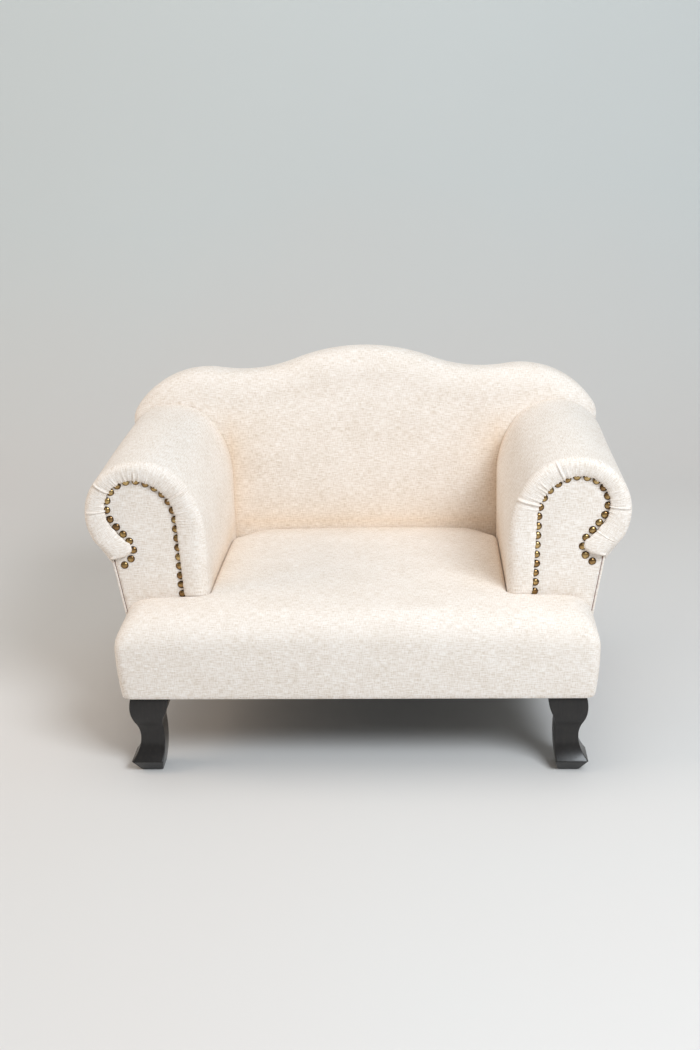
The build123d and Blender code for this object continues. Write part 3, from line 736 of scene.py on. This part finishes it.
def matched_paths():
    """The lip's outer and inner edge, point for point, the rays across it square to the nail row."""
    outer = arm_outline()
    row, normals = nail_path(0.0, ARM_FOOT_Z)
    row_along = lengths(row)
    notch_at = row_along[sum(NAIL_POINTS[:4])]
    margin = FACING_MARGIN - 0.0024 * smoothstep(row_along, notch_at - 0.016, notch_at + 0.004)
    inner = row + margin[:, None] * normals
    outer_along, inner_along = lengths(outer), lengths(inner)
    hit = []
    for q, n in zip(inner, normals):
        away = outer - q
        cross = np.abs(away[:, 0] * n[1] - away[:, 1] * n[0]) + np.where(away @ n > 0, 0, 1)
        hit.append(outer_along[np.argmin(cross)])
    hit = np.maximum.accumulate(np.array(hit))
    # Past the scroll the rays close up evenly towards the outline's end.
    notch = sum(NAIL_POINTS[:3]) + 8
    tail = np.arange(len(inner) - notch) / (len(inner) - 1 - notch)
    hit[notch:] = hit[notch] + (outer_along[-1] - hit[notch]) * tail
    extended = np.concatenate([2 * hit[0] - hit[6:0:-1], hit, 2 * hit[-1] - hit[-2:-8:-1]])
    hit = np.convolve(extended, np.ones(13) / 13, mode="valid")
    hit[0], hit[-1] = 0, outer_along[-1]
    where = np.linspace(0, inner_along[-1], ARM_COLUMNS)
    outside = at(outer, outer_along, np.interp(where, inner_along, hit))
    closing = smoothstep(where, where[-1] - 0.011, where[-1])[:, None]
    return outside, at(inner, inner_along, where) * (1 - closing) + outside[-1] * closing, where


def arm_shell(outer, inner, along):
    """The arm's cloth as a grid, with rows from its rear end forward, over the lip and in to the nail row.
    Also returns how far over the lip each row is, from 0 to 1."""
    across = inner - outer
    width = np.linalg.norm(across, axis=1)
    unit = across / np.maximum(width, 1e-6)[:, None]
    proud = (FACING_Y - LIP_FRONT_Y) * np.sqrt(1 - (1 - np.clip(width / LIP_FULL, 0.01, 1)) ** 2)
    front = FACING_Y - proud
    upright = 1 - smoothstep(along, 0.085, 0.150)
    crest = np.minimum(CREST_IN + 0.0045 * upright, width * (0.52 + 0.08 * upright))
    crest_deep = np.minimum(CREST_DEEP, proud) + 0.0060 * upright
    around = scroll_angle(outer)
    under = smoothstep(-around, -5, 25) * (around > -100)
    overhang = (OVERHANG - 0.0014 * under) * smoothstep(width, 0.0, 0.012)
    rows, shares = [], []

    def add(reach, y, share):
        rows.append(row_across(outer, unit, reach, y))
        shares.append(share)

    for _, cos, sin in quarter(5):
        add(np.minimum(END_ROUND, width * 0.5) * (1 - sin), END_CLOTH_Y - END_ROUND * (1 - cos), 0)
    rear, lip = ARM_REAR_Y - END_ROUND, front + crest_deep
    for t in np.linspace(0, 1, 46)[1:]:
        add(0.0, rear + (lip - rear) * (1 - (1 - t) ** 1.35), 0)
    for t, cos, sin in quarter(15, 1):
        add(crest * (1 - cos), front + crest_deep * (1 - sin), t * CREST_SHARE)
    tall = np.maximum(proud - 0.0056, proud * 0.3)
    for t, cos, sin in quarter(17, 1):
        share = CREST_SHARE + (WALL_SHARE - CREST_SHARE) * t
        add(crest + (width + overhang - crest) * sin, front + tall * (1 - cos), share)
    for t in np.linspace(0, 1, 5)[1:]:
        wall = front + tall + (FACING_Y - 0.0003 - front - tall) * t
        add(width + overhang * (1 - t) - 0.0003 * t, wall, WALL_SHARE + (1 - WALL_SHARE) * t)
    return np.array(rows), np.array(shares)[:, None]


def stand_on_seat(grid, middle_x):
    """Sets the foot of the lip on the seat's ear, tucked in a little, and the rest down behind the ear."""
    x, y, z = np.moveaxis(grid, 2, 0)
    low = z < HOLLOW_Z
    standing = y < EAR_REAR_Y + 0.0012
    target = np.where(standing, ear_surface(grid) + 0.0006, ARM_FOOT_Z)
    moved = target + (z - ARM_FOOT_Z) * (HOLLOW_Z - target) / (HOLLOW_Z - ARM_FOOT_Z)
    z[low] = moved[low]
    raised = np.clip((z - target) / FOOT_ROUND, 0, 1)
    tuck = FOOT_TUCK * (1 - np.sqrt(1 - (1 - raised) ** 2)) * smoothstep(EAR_REAR_Y - y, 0.0, 0.004) * low
    x += (middle_x - x) * tuck
    y += (FACING_Y - 0.0003 - y) * tuck
    z += np.where(low & standing, (ear_surface(grid) + 0.0004 - target) * (1 - raised), 0)


def wrinkles(grid, share, outer, inner, along, side):
    """How far out the cloth stands: gathers and pleats along the rays, dents at the nails, a soft roll."""
    local = np.random.default_rng(5 if side > 0 else 8)
    angle = scroll_angle(outer)
    angle = np.where(angle < -100, angle + 360, angle)
    curved = smoothstep(along, 0.125, 0.165) * (1 - smoothstep(along, 0.325, 0.350))
    narrow = smoothstep(np.linalg.norm(inner - outer, axis=1), 0.0, 0.012)
    depth = np.zeros(grid.shape[:2])
    where = 0.035
    while where < along[-1] - 0.012:
        strength = float(np.interp(where, along, curved))
        reach = local.uniform(*GATHER_REACH) * (0.35 + 0.65 * strength)
        wide = local.uniform(*GATHER_WIDTH)
        amount = local.uniform(*GATHER_DEPTH) * (0.12 + 0.88 * strength)
        middle = where + local.uniform(-GATHER_SLANT, GATHER_SLANT) * (1 - share)
        valley = np.exp(-((along[None, :] - middle) / wide) ** 2)
        depth -= amount * valley * smoothstep(share, 0.62 - reach, 0.85) * (1 - 0.5 * smoothstep(share, 0.95, 1.0))
        where += local.uniform(*GATHER_STEP)
    nail_phase = 2 * np.pi * (along - (NAIL_FOOT[1] - ARM_FOOT_Z)) / NAIL_PITCH
    depth -= NAIL_DENT * np.cos(nail_phase)[None, :] * smoothstep(share, 0.55, 0.95) * narrow[None, :]
    for degrees_at, strength, starts in RIGHT_PLEATS if side > 0 else LEFT_PLEATS:
        column = np.argmin(np.abs(angle - degrees_at) + np.where(along < 0.09, 90, 0))
        away = along[None, :] - (along[column] + local.uniform(-0.002, 0.002) * (1 - share))
        reach = strength * smoothstep(share, starts, starts + 0.20)
        for height, place, wide in PLEAT_FORM:
            depth += height * reach * np.exp(-((away - place) / wide) ** 2)
    body = 1 - smoothstep(share, 0.0, 0.3)
    soft = ROLL_FULLNESS * np.sin(along / 0.055 + 1.3 * side)[None, :] * np.sin(grid[..., 1] / 0.061 + 0.7)
    depth += soft * body * smoothstep(grid[..., 2], 0.255, 0.325)
    off_rear = smoothstep(np.arange(len(grid)), 0, 7)[:, None]
    return depth * off_rear * smoothstep(grid[..., 2] - ear_surface(grid), 0.0, 0.012)


def make_arm(side):
    """Padded arm: roll, lip gathered round the nail row, and the lip's wall behind the nails."""
    outer, inner, along = matched_paths()
    grid, share = arm_shell(outer, inner, along)
    stand_on_seat(grid, (outer[:, 0] + inner[:, 0]) / 2)
    depth = wrinkles(grid, share, outer, inner, along, side)
    grid = grid + grid_normals(grid) * depth[:, :, None]
    points = grid.reshape(-1, 3)
    # Cloth over the arm's rear end, behind the rear board.
    extra, end_faces = cap(range(ARM_COLUMNS), grid[0][:, [0, 2]], 0.014, len(points))
    points = np.vstack([points, np.column_stack([extra[:, 0], np.full(len(extra), END_CLOTH_Y), extra[:, 1]])])
    uvs = np.vstack([grid_uv(grid, u_along_rows=False), extra + [ARM_END_U, 0.0]])
    faces = grid_faces(*grid.shape[:2]) + turned_over(end_faces)
    if side < 0:
        points[:, 0] *= -1
        faces = turned_over(faces)
    obj = piece(f"{arm(side)}_upholstery", points, faces, uvs, (f"{arm(side)}_cover", f"{arm(side)}_foam"))


def make_facing(side):
    """Lightly padded panel inside the nail row; its upper corner reaches in behind the lip."""
    edge = 0.0046
    path, normals = nail_path(0.0060, ARM_FOOT_Z, tail=0.002)
    along = lengths(path)
    path = path + 0.0042 * smoothstep(along, along[-1] - 0.026, along[-1] - 0.006)[:, None] * normals
    path = path[path[:, 0] < arm_outside(path[:, 1]) - edge - 0.0004]
    corner = [[arm_outside(CREASE_Z) - edge, z] for z in (CREASE_Z + 0.0095, CREASE_Z + 0.0045)]
    down = [[arm_outside(z) - edge, z] for z in np.linspace(CREASE_Z, ARM_FOOT_Z, 44)]
    bottom = [[x, ARM_FOOT_Z] for x in np.linspace(down[-1][0], path[0][0], 30)[1:-1]]
    loop = at_even(np.vstack([path, corner, down, bottom]), 0.0022)
    covered_board(f"{arm(side)}_facing_panel", f"{arm(side)}_facing", loop, 0.0042,
                  lambda off: FACING_Y - 0.0002 - FACING_PUFF * smoothstep(off, 0, 0.022), BOARD_Y, FACING_U, side)


def make_outer_panel(side):
    """Leaning outside panel, its cloth turned over the board's edges."""
    bottom, top = BASE_BOTTOM + 0.0002, CREASE_Z - 0.0022
    y0, y1 = BOARD_Y + 0.0003, ARM_REAR_Y
    steps, turned = [0, 0, 0.0008], [0.0032, 0.0010, 0.0002]
    ys = np.concatenate([np.add(y0, steps), np.linspace(y0 + 0.003, y1 - 0.003, 60), np.subtract(y1, steps[::-1])])
    sink = np.concatenate([turned, np.zeros(60), turned[::-1]])
    zs = np.concatenate([np.add(bottom, steps), np.linspace(bottom + 0.003, top, 40), [top + 0.0012, top + 0.0034]])
    low = np.concatenate([turned, np.zeros(40), [0.0007, 0.0029]])
    y, z = np.meshgrid(ys, zs)
    x = arm_outside(z) - np.maximum(sink[None, :], low[:, None])
    belly = smoothstep(z, 0.118, 0.165) * (1 - smoothstep(z, 0.235, 0.285))
    ends = smoothstep(y, y0, y0 + 0.05) * (1 - smoothstep(y, y1 - 0.05, y1))
    points = np.stack([side * (x + 0.0012 * belly * ends), y, z], axis=-1).reshape(-1, 3)
    obj = piece(f"{arm(side)}_outside_cloth", points, grid_faces(*x.shape), points[:, 1:] + [ARM_OUTSIDE_U, 0],
                (f"{arm(side)}_outer_panel",))
    if side < 0:
        obj.data.flip_normals()


def tube(name, path, radius, sides, stands_for=(), material=LINEN):
    """A round tube along 3-D points."""
    path = np.array(path)
    ahead = np.gradient(path, axis=0)
    ahead /= np.linalg.norm(ahead, axis=1, keepdims=True)
    rows = []
    for p, a in zip(path, ahead):
        across = np.cross(a, (0.0, 1.0, 0.0))
        across /= np.linalg.norm(across)
        other = np.cross(across, a)
        rows.append([p + radius * (across * math.cos(t) + other * math.sin(t))
                     for t in np.linspace(0, 2 * math.pi, sides, endpoint=False)])
    grid = np.array(rows)
    faces = capped_faces(*grid.shape[:2])
    fix_normals(piece(name, grid.reshape(-1, 3), faces, grid_uv(grid), stands_for, material))


def make_welt(side):
    """Piping down the front edge of the outside panel, with a thin tube of painted shadow beside it."""
    zs = np.linspace(CREASE_Z + 0.0075, 0.1180, 60)
    pipe = [(side * (arm_outside(z) - 0.0020), BOARD_Y - 0.0020 + 0.0002 * math.sin(z * 90), z) for z in zs]
    tube(f"{arm(side)}_piping", pipe, 0.0019, 12, (f"{arm(side)}_welt",))
    # A thin dark tube beside the piping: painted shadow in the seam between piping and facing.
    line = [(side * (arm_outside(z) - 0.0043), BOARD_Y - 0.0034, z) for z in zs[1:-14]]
    tube(f"{arm(side)}_piping_painted_shadow", line, 0.0005, 8, material=PAINTED_SHADOW_LINE)


# Rings of a nail's head from the rim in: share of its radius and of its rise.
NAIL_PROFILE = [(1.0, 0.0), (1.0, 0.07), (0.975, 0.17), (0.90, 0.36), (0.78, 0.56), (0.62, 0.74), (0.42, 0.89),
                (0.21, 0.975)]
NAIL_SIDES = 28
NAIL_TILT = 0.055  # radians
NAIL_STRAY = 0.0003


def make_nails(side):
    """Domed upholstery nails along the row, each a little out of true."""
    local = np.random.default_rng(21 if side > 0 else 22)
    path, _ = nail_path(0.0, NAIL_FOOT[1])
    points, faces, uvs, dome = [], [], [], []

    def vary(most):
        return local.uniform(-most, most)

    for x, z in at(path, lengths(path), np.arange(NAIL_COUNT) * NAIL_PITCH):
        first = len(points)
        scale = local.uniform(0.965, 1.0)
        tilt = Matrix.Rotation(vary(NAIL_TILT), 3, "X") @ Matrix.Rotation(vary(NAIL_TILT), 3, "Z")
        middle = Vector((x * side + vary(NAIL_STRAY), FACING_Y - 0.0006, z + vary(NAIL_STRAY)))
        for share, height in NAIL_PROFILE:
            for k in range(NAIL_SIDES):
                turn = 2 * math.pi * k / NAIL_SIDES
                out = NAIL_R * share * scale * (1 + 0.012 * math.sin(3 * turn + x * 900))
                points.append(middle + tilt @ Vector((out * math.cos(turn), -NAIL_RISE * height, out * math.sin(turn))))
                uvs.append((share, turn / 6.3))
                dome.append(1 - share)
        points.append(middle + tilt @ Vector((0, -NAIL_RISE, 0)))
        uvs.append((0, 0))
        dome.append(1.0)
        tip = first + len(NAIL_PROFILE) * NAIL_SIDES
        last = tip - NAIL_SIDES
        faces += grid_faces(len(NAIL_PROFILE), NAIL_SIDES, closed=True, first=first)
        faces += [(last + k, last + (k + 1) % NAIL_SIDES, tip) for k in range(NAIL_SIDES)]
        faces.append(tuple(first + k for k in range(NAIL_SIDES)))
    obj = piece(f"{arm(side)}_nail_heads", points, faces, uvs, (f"{arm(side)}_nails",), BRASS)
    layer = obj.data.attributes.new("dome", "FLOAT", "POINT")
    layer.data.foreach_set("value", np.array(dome, dtype=np.float32))
    fix_normals(obj)


# ---- Back ----
BACK_PUFF = 0.0042
BACK_BULGE = 0.0007  # of its sides and top between the rounded edges


def back_half(foot):
    """Right half of the camel back from the middle out and down, with outward normals."""
    upper, upper_normals = trace((0, BACK_TOP), 0, BACK_STEPS, (30, 34, 44, 22))
    x, top = upper[-1]
    zs = np.concatenate([np.linspace(top, DECK_TOP, 50)[1:], np.linspace(DECK_TOP, foot, 14)[1:]])
    sides = np.column_stack([x - (top - zs) * math.tan(BACK_LEAN), zs])
    normals = np.tile([math.cos(BACK_LEAN), -math.sin(BACK_LEAN)], (len(sides), 1))
    return np.vstack([upper, sides]), np.vstack([upper_normals, normals])


def both_halves(half):
    """From the right foot over the top to the left foot."""
    return np.vstack([half[::-1], half[1:] * [-1, 1]])


def make_back():
    """Camel back: padded front and top, cloth turned in behind round the outside panel."""
    half, normals = back_half(BASE_BOTTOM)
    outline, outward = both_halves(half)[::-1], both_halves(normals)[::-1]
    front_upper = smoothstep(outline[:, 1], 0.350, 0.400)
    front_deep, front_in = 0.004 + 0.021 * front_upper, 0.004 + 0.040 * front_upper
    rear_upper = smoothstep(outline[:, 1], 0.315, 0.400)
    rear_deep, rear_in = 0.005 + 0.029 * rear_upper, 0.004 + 0.009 * rear_upper
    rows = []

    def add(inset, y):
        rows.append(row_across(outline, -outward, inset, y))

    add(BACK_PANEL_IN, BACK_REAR_Y - 0.0015)
    add(BACK_PANEL_IN - 0.0004, BACK_REAR_Y - 0.0002)
    for _, cos, sin in quarter(12):
        add(rear_in * (1 - sin), BACK_REAR_Y - rear_deep * (1 - cos))
    for t in np.linspace(0, 1, 7)[1:]:
        add(-BACK_BULGE * math.sin(math.pi * t), (BACK_REAR_Y - rear_deep) * (1 - t) + (BACK_FRONT_Y + front_deep) * t)
    for _, cos, sin in quarter(20, 1):
        add(front_in * (1 - cos), BACK_FRONT_Y + front_deep * (1 - sin))
    grid = np.array(rows)
    count = grid.shape[1]
    taken = len(rows) * count
    # The front between the rounded edges, down to the deck.
    above = np.where(grid[-1][:, 2] >= DECK_TOP - 1e-6)[0]
    loop = grid[-1][above][:, [0, 2]]
    polygon = np.vstack([loop, np.linspace(loop[-1], loop[0], 60)[1:-1]])
    extra, front_faces = cap(taken - count + above, polygon, CLOTH_SPACING, taken)
    x, z = extra.T
    between_arms = (1 - smoothstep(np.abs(x), 0.130, 0.206)) * smoothstep(z, 0.226, 0.335)
    over_arms = smoothstep(z, 0.441, 0.463) * (1 - smoothstep(np.abs(x), 0.26, 0.34))
    puff = BACK_PUFF * np.maximum(between_arms, over_arms) * smoothstep(off_edge(loop, extra), 0.0, 0.05)
    points = np.vstack([grid.reshape(-1, 3), np.column_stack([x, BACK_FRONT_Y - puff, z])])
    faces = grid_faces(len(rows), count) + front_faces
    uvs = np.column_stack([points[:, 0] + BACK_U, points[:, 2] + points[:, 1]])
    obj = piece("back_upholstery", points, faces, uvs, ("back_cover", "back_foam"))
    fix_normals(obj)
    weave_on_sides(obj, 0.75, BACK_SIDES_U)


def make_back_panel():
    """Cloth-covered panel let into the rear of the back."""
    foot = BASE_BOTTOM + 0.0003
    half, normals = back_half(foot)
    inset = half - normals * (BACK_PANEL_IN + 0.0006)
    whole = both_halves(inset[inset[:, 1] > foot])
    low = np.linspace([whole[-1][0], foot], [whole[0][0], foot], 70)
    loop = at_even(np.vstack([whole, low]), 0.006)
    covered_board("back_outside_cloth", "back_outer_panel", loop, 0.012,
                  lambda off: BACK_REAR_Y - 0.0032 + 0.0030 * np.sqrt(np.clip(off / 0.009, 0, 1)),
                  BACK_REAR_Y - 0.0039, BACK_OUTSIDE_U)


# ---- Legs ----
TOE_HEIGHT = 0.0182
SOLE_IN = 0.008
LEG_EDGE_R = 0.0016
KNEE_R = 0.056
# The outer face's angles from the vertical: out at the top, in below the knee, out at the toe.
KNEE_OUT, KNEE_IN, TOE_OUT = 16.0, 27.0, 43.0
# The inner face: two arcs down the calf, which leave it 5 degrees off the vertical, then the heel's turn.
CALF = [(0.060, -28.0), (0.030, 33.0)]
HEEL_FROM, HEEL_TURN = 5.0, 17.0


def leg_profile():
    """Distance in from the outer face, and to the inner face, at each height."""
    knee = (KNEE_R, KNEE_OUT + KNEE_IN)
    probe, _ = trace((0, LEG_TOP), -90 - KNEE_OUT, [knee], (20,))
    waist_r = (probe[-1][1] - TOE_HEIGHT) / (sine(KNEE_IN) + sine(TOE_OUT))
    outer, _ = trace((0, LEG_TOP), -90 - KNEE_OUT, [knee, (waist_r, -KNEE_IN - TOE_OUT)], (60, 90))
    outer = np.vstack([outer, np.linspace(outer[-1], (SOLE_IN, 0.0), 12)[1:]])
    probe, _ = trace((LEG_SIDE, LEG_TOP), -90, CALF, (20, 20))
    heel_r = probe[-1][1] / (sine(HEEL_FROM) + sine(HEEL_TURN - HEEL_FROM))
    inner, _ = trace((LEG_SIDE, LEG_TOP), -90, [*CALF, (heel_r, -HEEL_TURN)], (50, 50, 60))
    return outer, inner


def make_leg(node):
    """Cabriole leg sawn to one outline from two faces, its corners eased."""
    low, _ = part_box(node)
    outer, inner = leg_profile()
    heights = np.unique(np.concatenate([
        np.linspace(0, TOE_HEIGHT, 12), np.linspace(TOE_HEIGHT, 0.023, 8), np.linspace(0.023, LEG_TOP, 76)]))
    out_at = np.interp(heights, outer[::-1, 1], outer[::-1, 0])
    in_at = np.interp(heights, inner[::-1, 1], inner[::-1, 0])
    out_at[0] += 0.001
    in_at[0] -= 0.001
    r = LEG_EDGE_R
    rows = []
    for z, a, b in zip(heights, out_at + r, in_at - r):
        rows.append([(cx + r * math.cos(turn), cy + r * math.sin(turn), z)
                     for cx, cy, start in ((b, b, 0), (a, b, 90), (a, a, 180), (b, a, 270))
                     for turn in np.radians(start + np.linspace(0, 90, 6))])
    grid = np.array(rows)
    points = grid.reshape(-1, 3)
    # The outline's zero is the outer face of the block, at the base's corner.
    points[:, 0] = (1 if low.x > 0 else -1) * (LEG_CORNER_X - points[:, 0])
    points[:, 1] = LEG_REAR_Y - points[:, 1] if low.y > 0 else LEG_FRONT_Y + points[:, 1]
    obj = piece(f"{node}_turned", points, capped_faces(*grid.shape[:2]), points[:, [0, 2]], (node,), LACQUER)
    fix_normals(obj)


# ---- Underside ----
def make_dust_cloth():
    """Black cloth stretched under the base, cut out round the legs and sagging a little."""
    side, front, rear = 0.3150, -0.2330, 0.2420
    cut = LEG_SIDE + 0.001
    corners = []
    for sx, sy in ((-1, -1), (1, -1), (1, 1), (-1, 1)):
        inner_x = sx * (LEG_CORNER_X - cut)
        inner_y = LEG_REAR_Y - cut if sy > 0 else LEG_FRONT_Y + cut
        edge_x, edge_y = sx * side, rear if sy > 0 else front
        trio = [(edge_x, inner_y), (inner_x, inner_y), (inner_x, edge_y)]
        corners += trio if sx * sy > 0 else trio[::-1]
    corners = np.array(corners)
    loop = at_even(corners, 0.006)
    flat, triangles = fill(loop, 0.013)
    off = from_edge(loop, flat)
    sag = 0.0016 * smoothstep(off, 0, 0.12)
    ripple = 0.0003 * np.sin(flat[:, 0] * 60) * np.sin(flat[:, 1] * 47) * smoothstep(off, 0, 0.05)
    points = np.column_stack([flat, LEG_TOP - 0.0004 - sag + ripple])
    obj = piece("dust_cloth", points, triangles, flat, ("dust_cover",), CLOTH)


make_seat()
for arm_side in (1, -1):
    make_arm(arm_side)
    make_facing(arm_side)
    make_outer_panel(arm_side)
    make_welt(arm_side)
    make_nails(arm_side)
make_back()
make_back_panel()
for leg_node in ("front_left_leg", "front_right_leg", "rear_left_leg", "rear_right_leg"):
    make_leg(leg_node)
make_dust_cloth()

# ---- Finishes of the CAD pieces that stay ----
for node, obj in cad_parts.items():
    if obj.hide_render:
        continue
    finish = PINE
    if node in ("seat_deck", "back_support_board") or node.endswith("inner_board"):
        finish = PLY
    elif "bolt" in node or "nut" in node:
        finish = ZINC
    if obj.data.materials:
        for slot in obj.material_slots:
            slot.material = finish
    else:
        obj.data.materials.append(finish)

# ---- Studio ----
FLOOR_HALF_WIDTH, FLOOR_FRONT = 7.0, -5.0
WALL_Y, WALL_TOP, SWEEP_R = 2.2, 4.5, 1.1
# Name, place, target, size, watts and colour.
LIGHTS = [
    ("key", (1.3, -1.9, 2.2), (0, 0, 0.25), (1.2, 1.0), 66, (0.88, 0.945, 1.0)),
    ("fill", (-2.4, -0.3, 1.5), (0, 0, 0.3), (1.4, 1.4), 19, (1.0, 0.80, 0.62)),
    ("top", (0.0, -0.1, 3.2), (0, 0, 0), (2.4, 2.0), 15, (1, 1, 1)),
]
CAMERA_PLACE = (0.0951, -2.0835, 0.9995)
CAMERA_YAW, CAMERA_PITCH, CAMERA_ROLL = math.radians(3.05), math.radians(18.81), math.radians(-1.50)
SENSOR = 36.0
CAMERA_LENS = 1458.0 / 1050.0 * SENSOR  # 1458 is the focal length where the picture is 1050 high


def make_stage():
    """Pale floor that sweeps up into a backdrop."""
    profile = [(FLOOR_FRONT, 0.0), (-1.0, 0.0)]
    profile += [(WALL_Y - SWEEP_R * (1 - sin), SWEEP_R * (1 - cos)) for _, cos, sin in quarter(25)]
    profile.append((WALL_Y, WALL_TOP))
    xs = np.linspace(-FLOOR_HALF_WIDTH, FLOOR_HALF_WIDTH, 15)
    points = [(x, y, z) for y, z in profile for x in xs]
    sweep = add_object("studio_sweep", smooth_mesh("studio_sweep", points, grid_faces(len(profile), len(xs))))
    g = Graph("studio_paper")
    height = g.split(g.place)[2]
    # Painted light: the paper is lighter and cooler in tone higher up, standing for the light on the backdrop, with a
    # soft random mottle.
    tone = g.plus(g.times(height, 0.4), g.times(g.noise(g.place, 1.3), 0.15))
    g.set({"Specular IOR Level": 0.2})
    colour = g.ramp(tone, [(0.05, srgb(222, 219, 217)), (0.30, srgb(219, 225, 226)), (0.9, srgb(229, 238, 240))])
    sweep.data.materials.append(g.finish(colour, 0.8))


def area_light(name, place, target, size, power, colour):
    """A rectangular lamp that looks at its target."""
    light = bpy.data.lights.new(name, "AREA")
    light.shape = "RECTANGLE"
    light.size, light.size_y = size
    light.energy = power
    light.color = colour
    obj = add_object(name, light)
    obj.location = place
    obj.rotation_euler = (Vector(target) - Vector(place)).to_track_quat("-Z", "Y").to_euler()


def make_camera():
    """The photograph's viewing angle."""
    data = bpy.data.cameras.new("camera")
    data.sensor_fit = "AUTO"
    data.sensor_width = SENSOR
    data.lens = CAMERA_LENS
    obj = add_object("camera", data)
    turn = (Matrix.Rotation(CAMERA_YAW, 4, "Z") @ Matrix.Rotation(math.pi / 2 - CAMERA_PITCH, 4, "X")
            @ Matrix.Rotation(CAMERA_ROLL, 4, "Z"))
    obj.matrix_world = Matrix.Translation(CAMERA_PLACE) @ turn
    bpy.context.scene.camera = obj


make_stage()
make_camera()
for lamp in LIGHTS:
    area_light(*lamp)

world = bpy.data.worlds.new("studio")
bpy.context.scene.world = world
world.use_nodes = True
background = world.node_tree.nodes["Background"].inputs
background["Color"].default_value = (1.0, 0.985, 0.955, 1)
background["Strength"].default_value = 0.33
bpy.context.scene.view_settings.view_transform = "Standard"
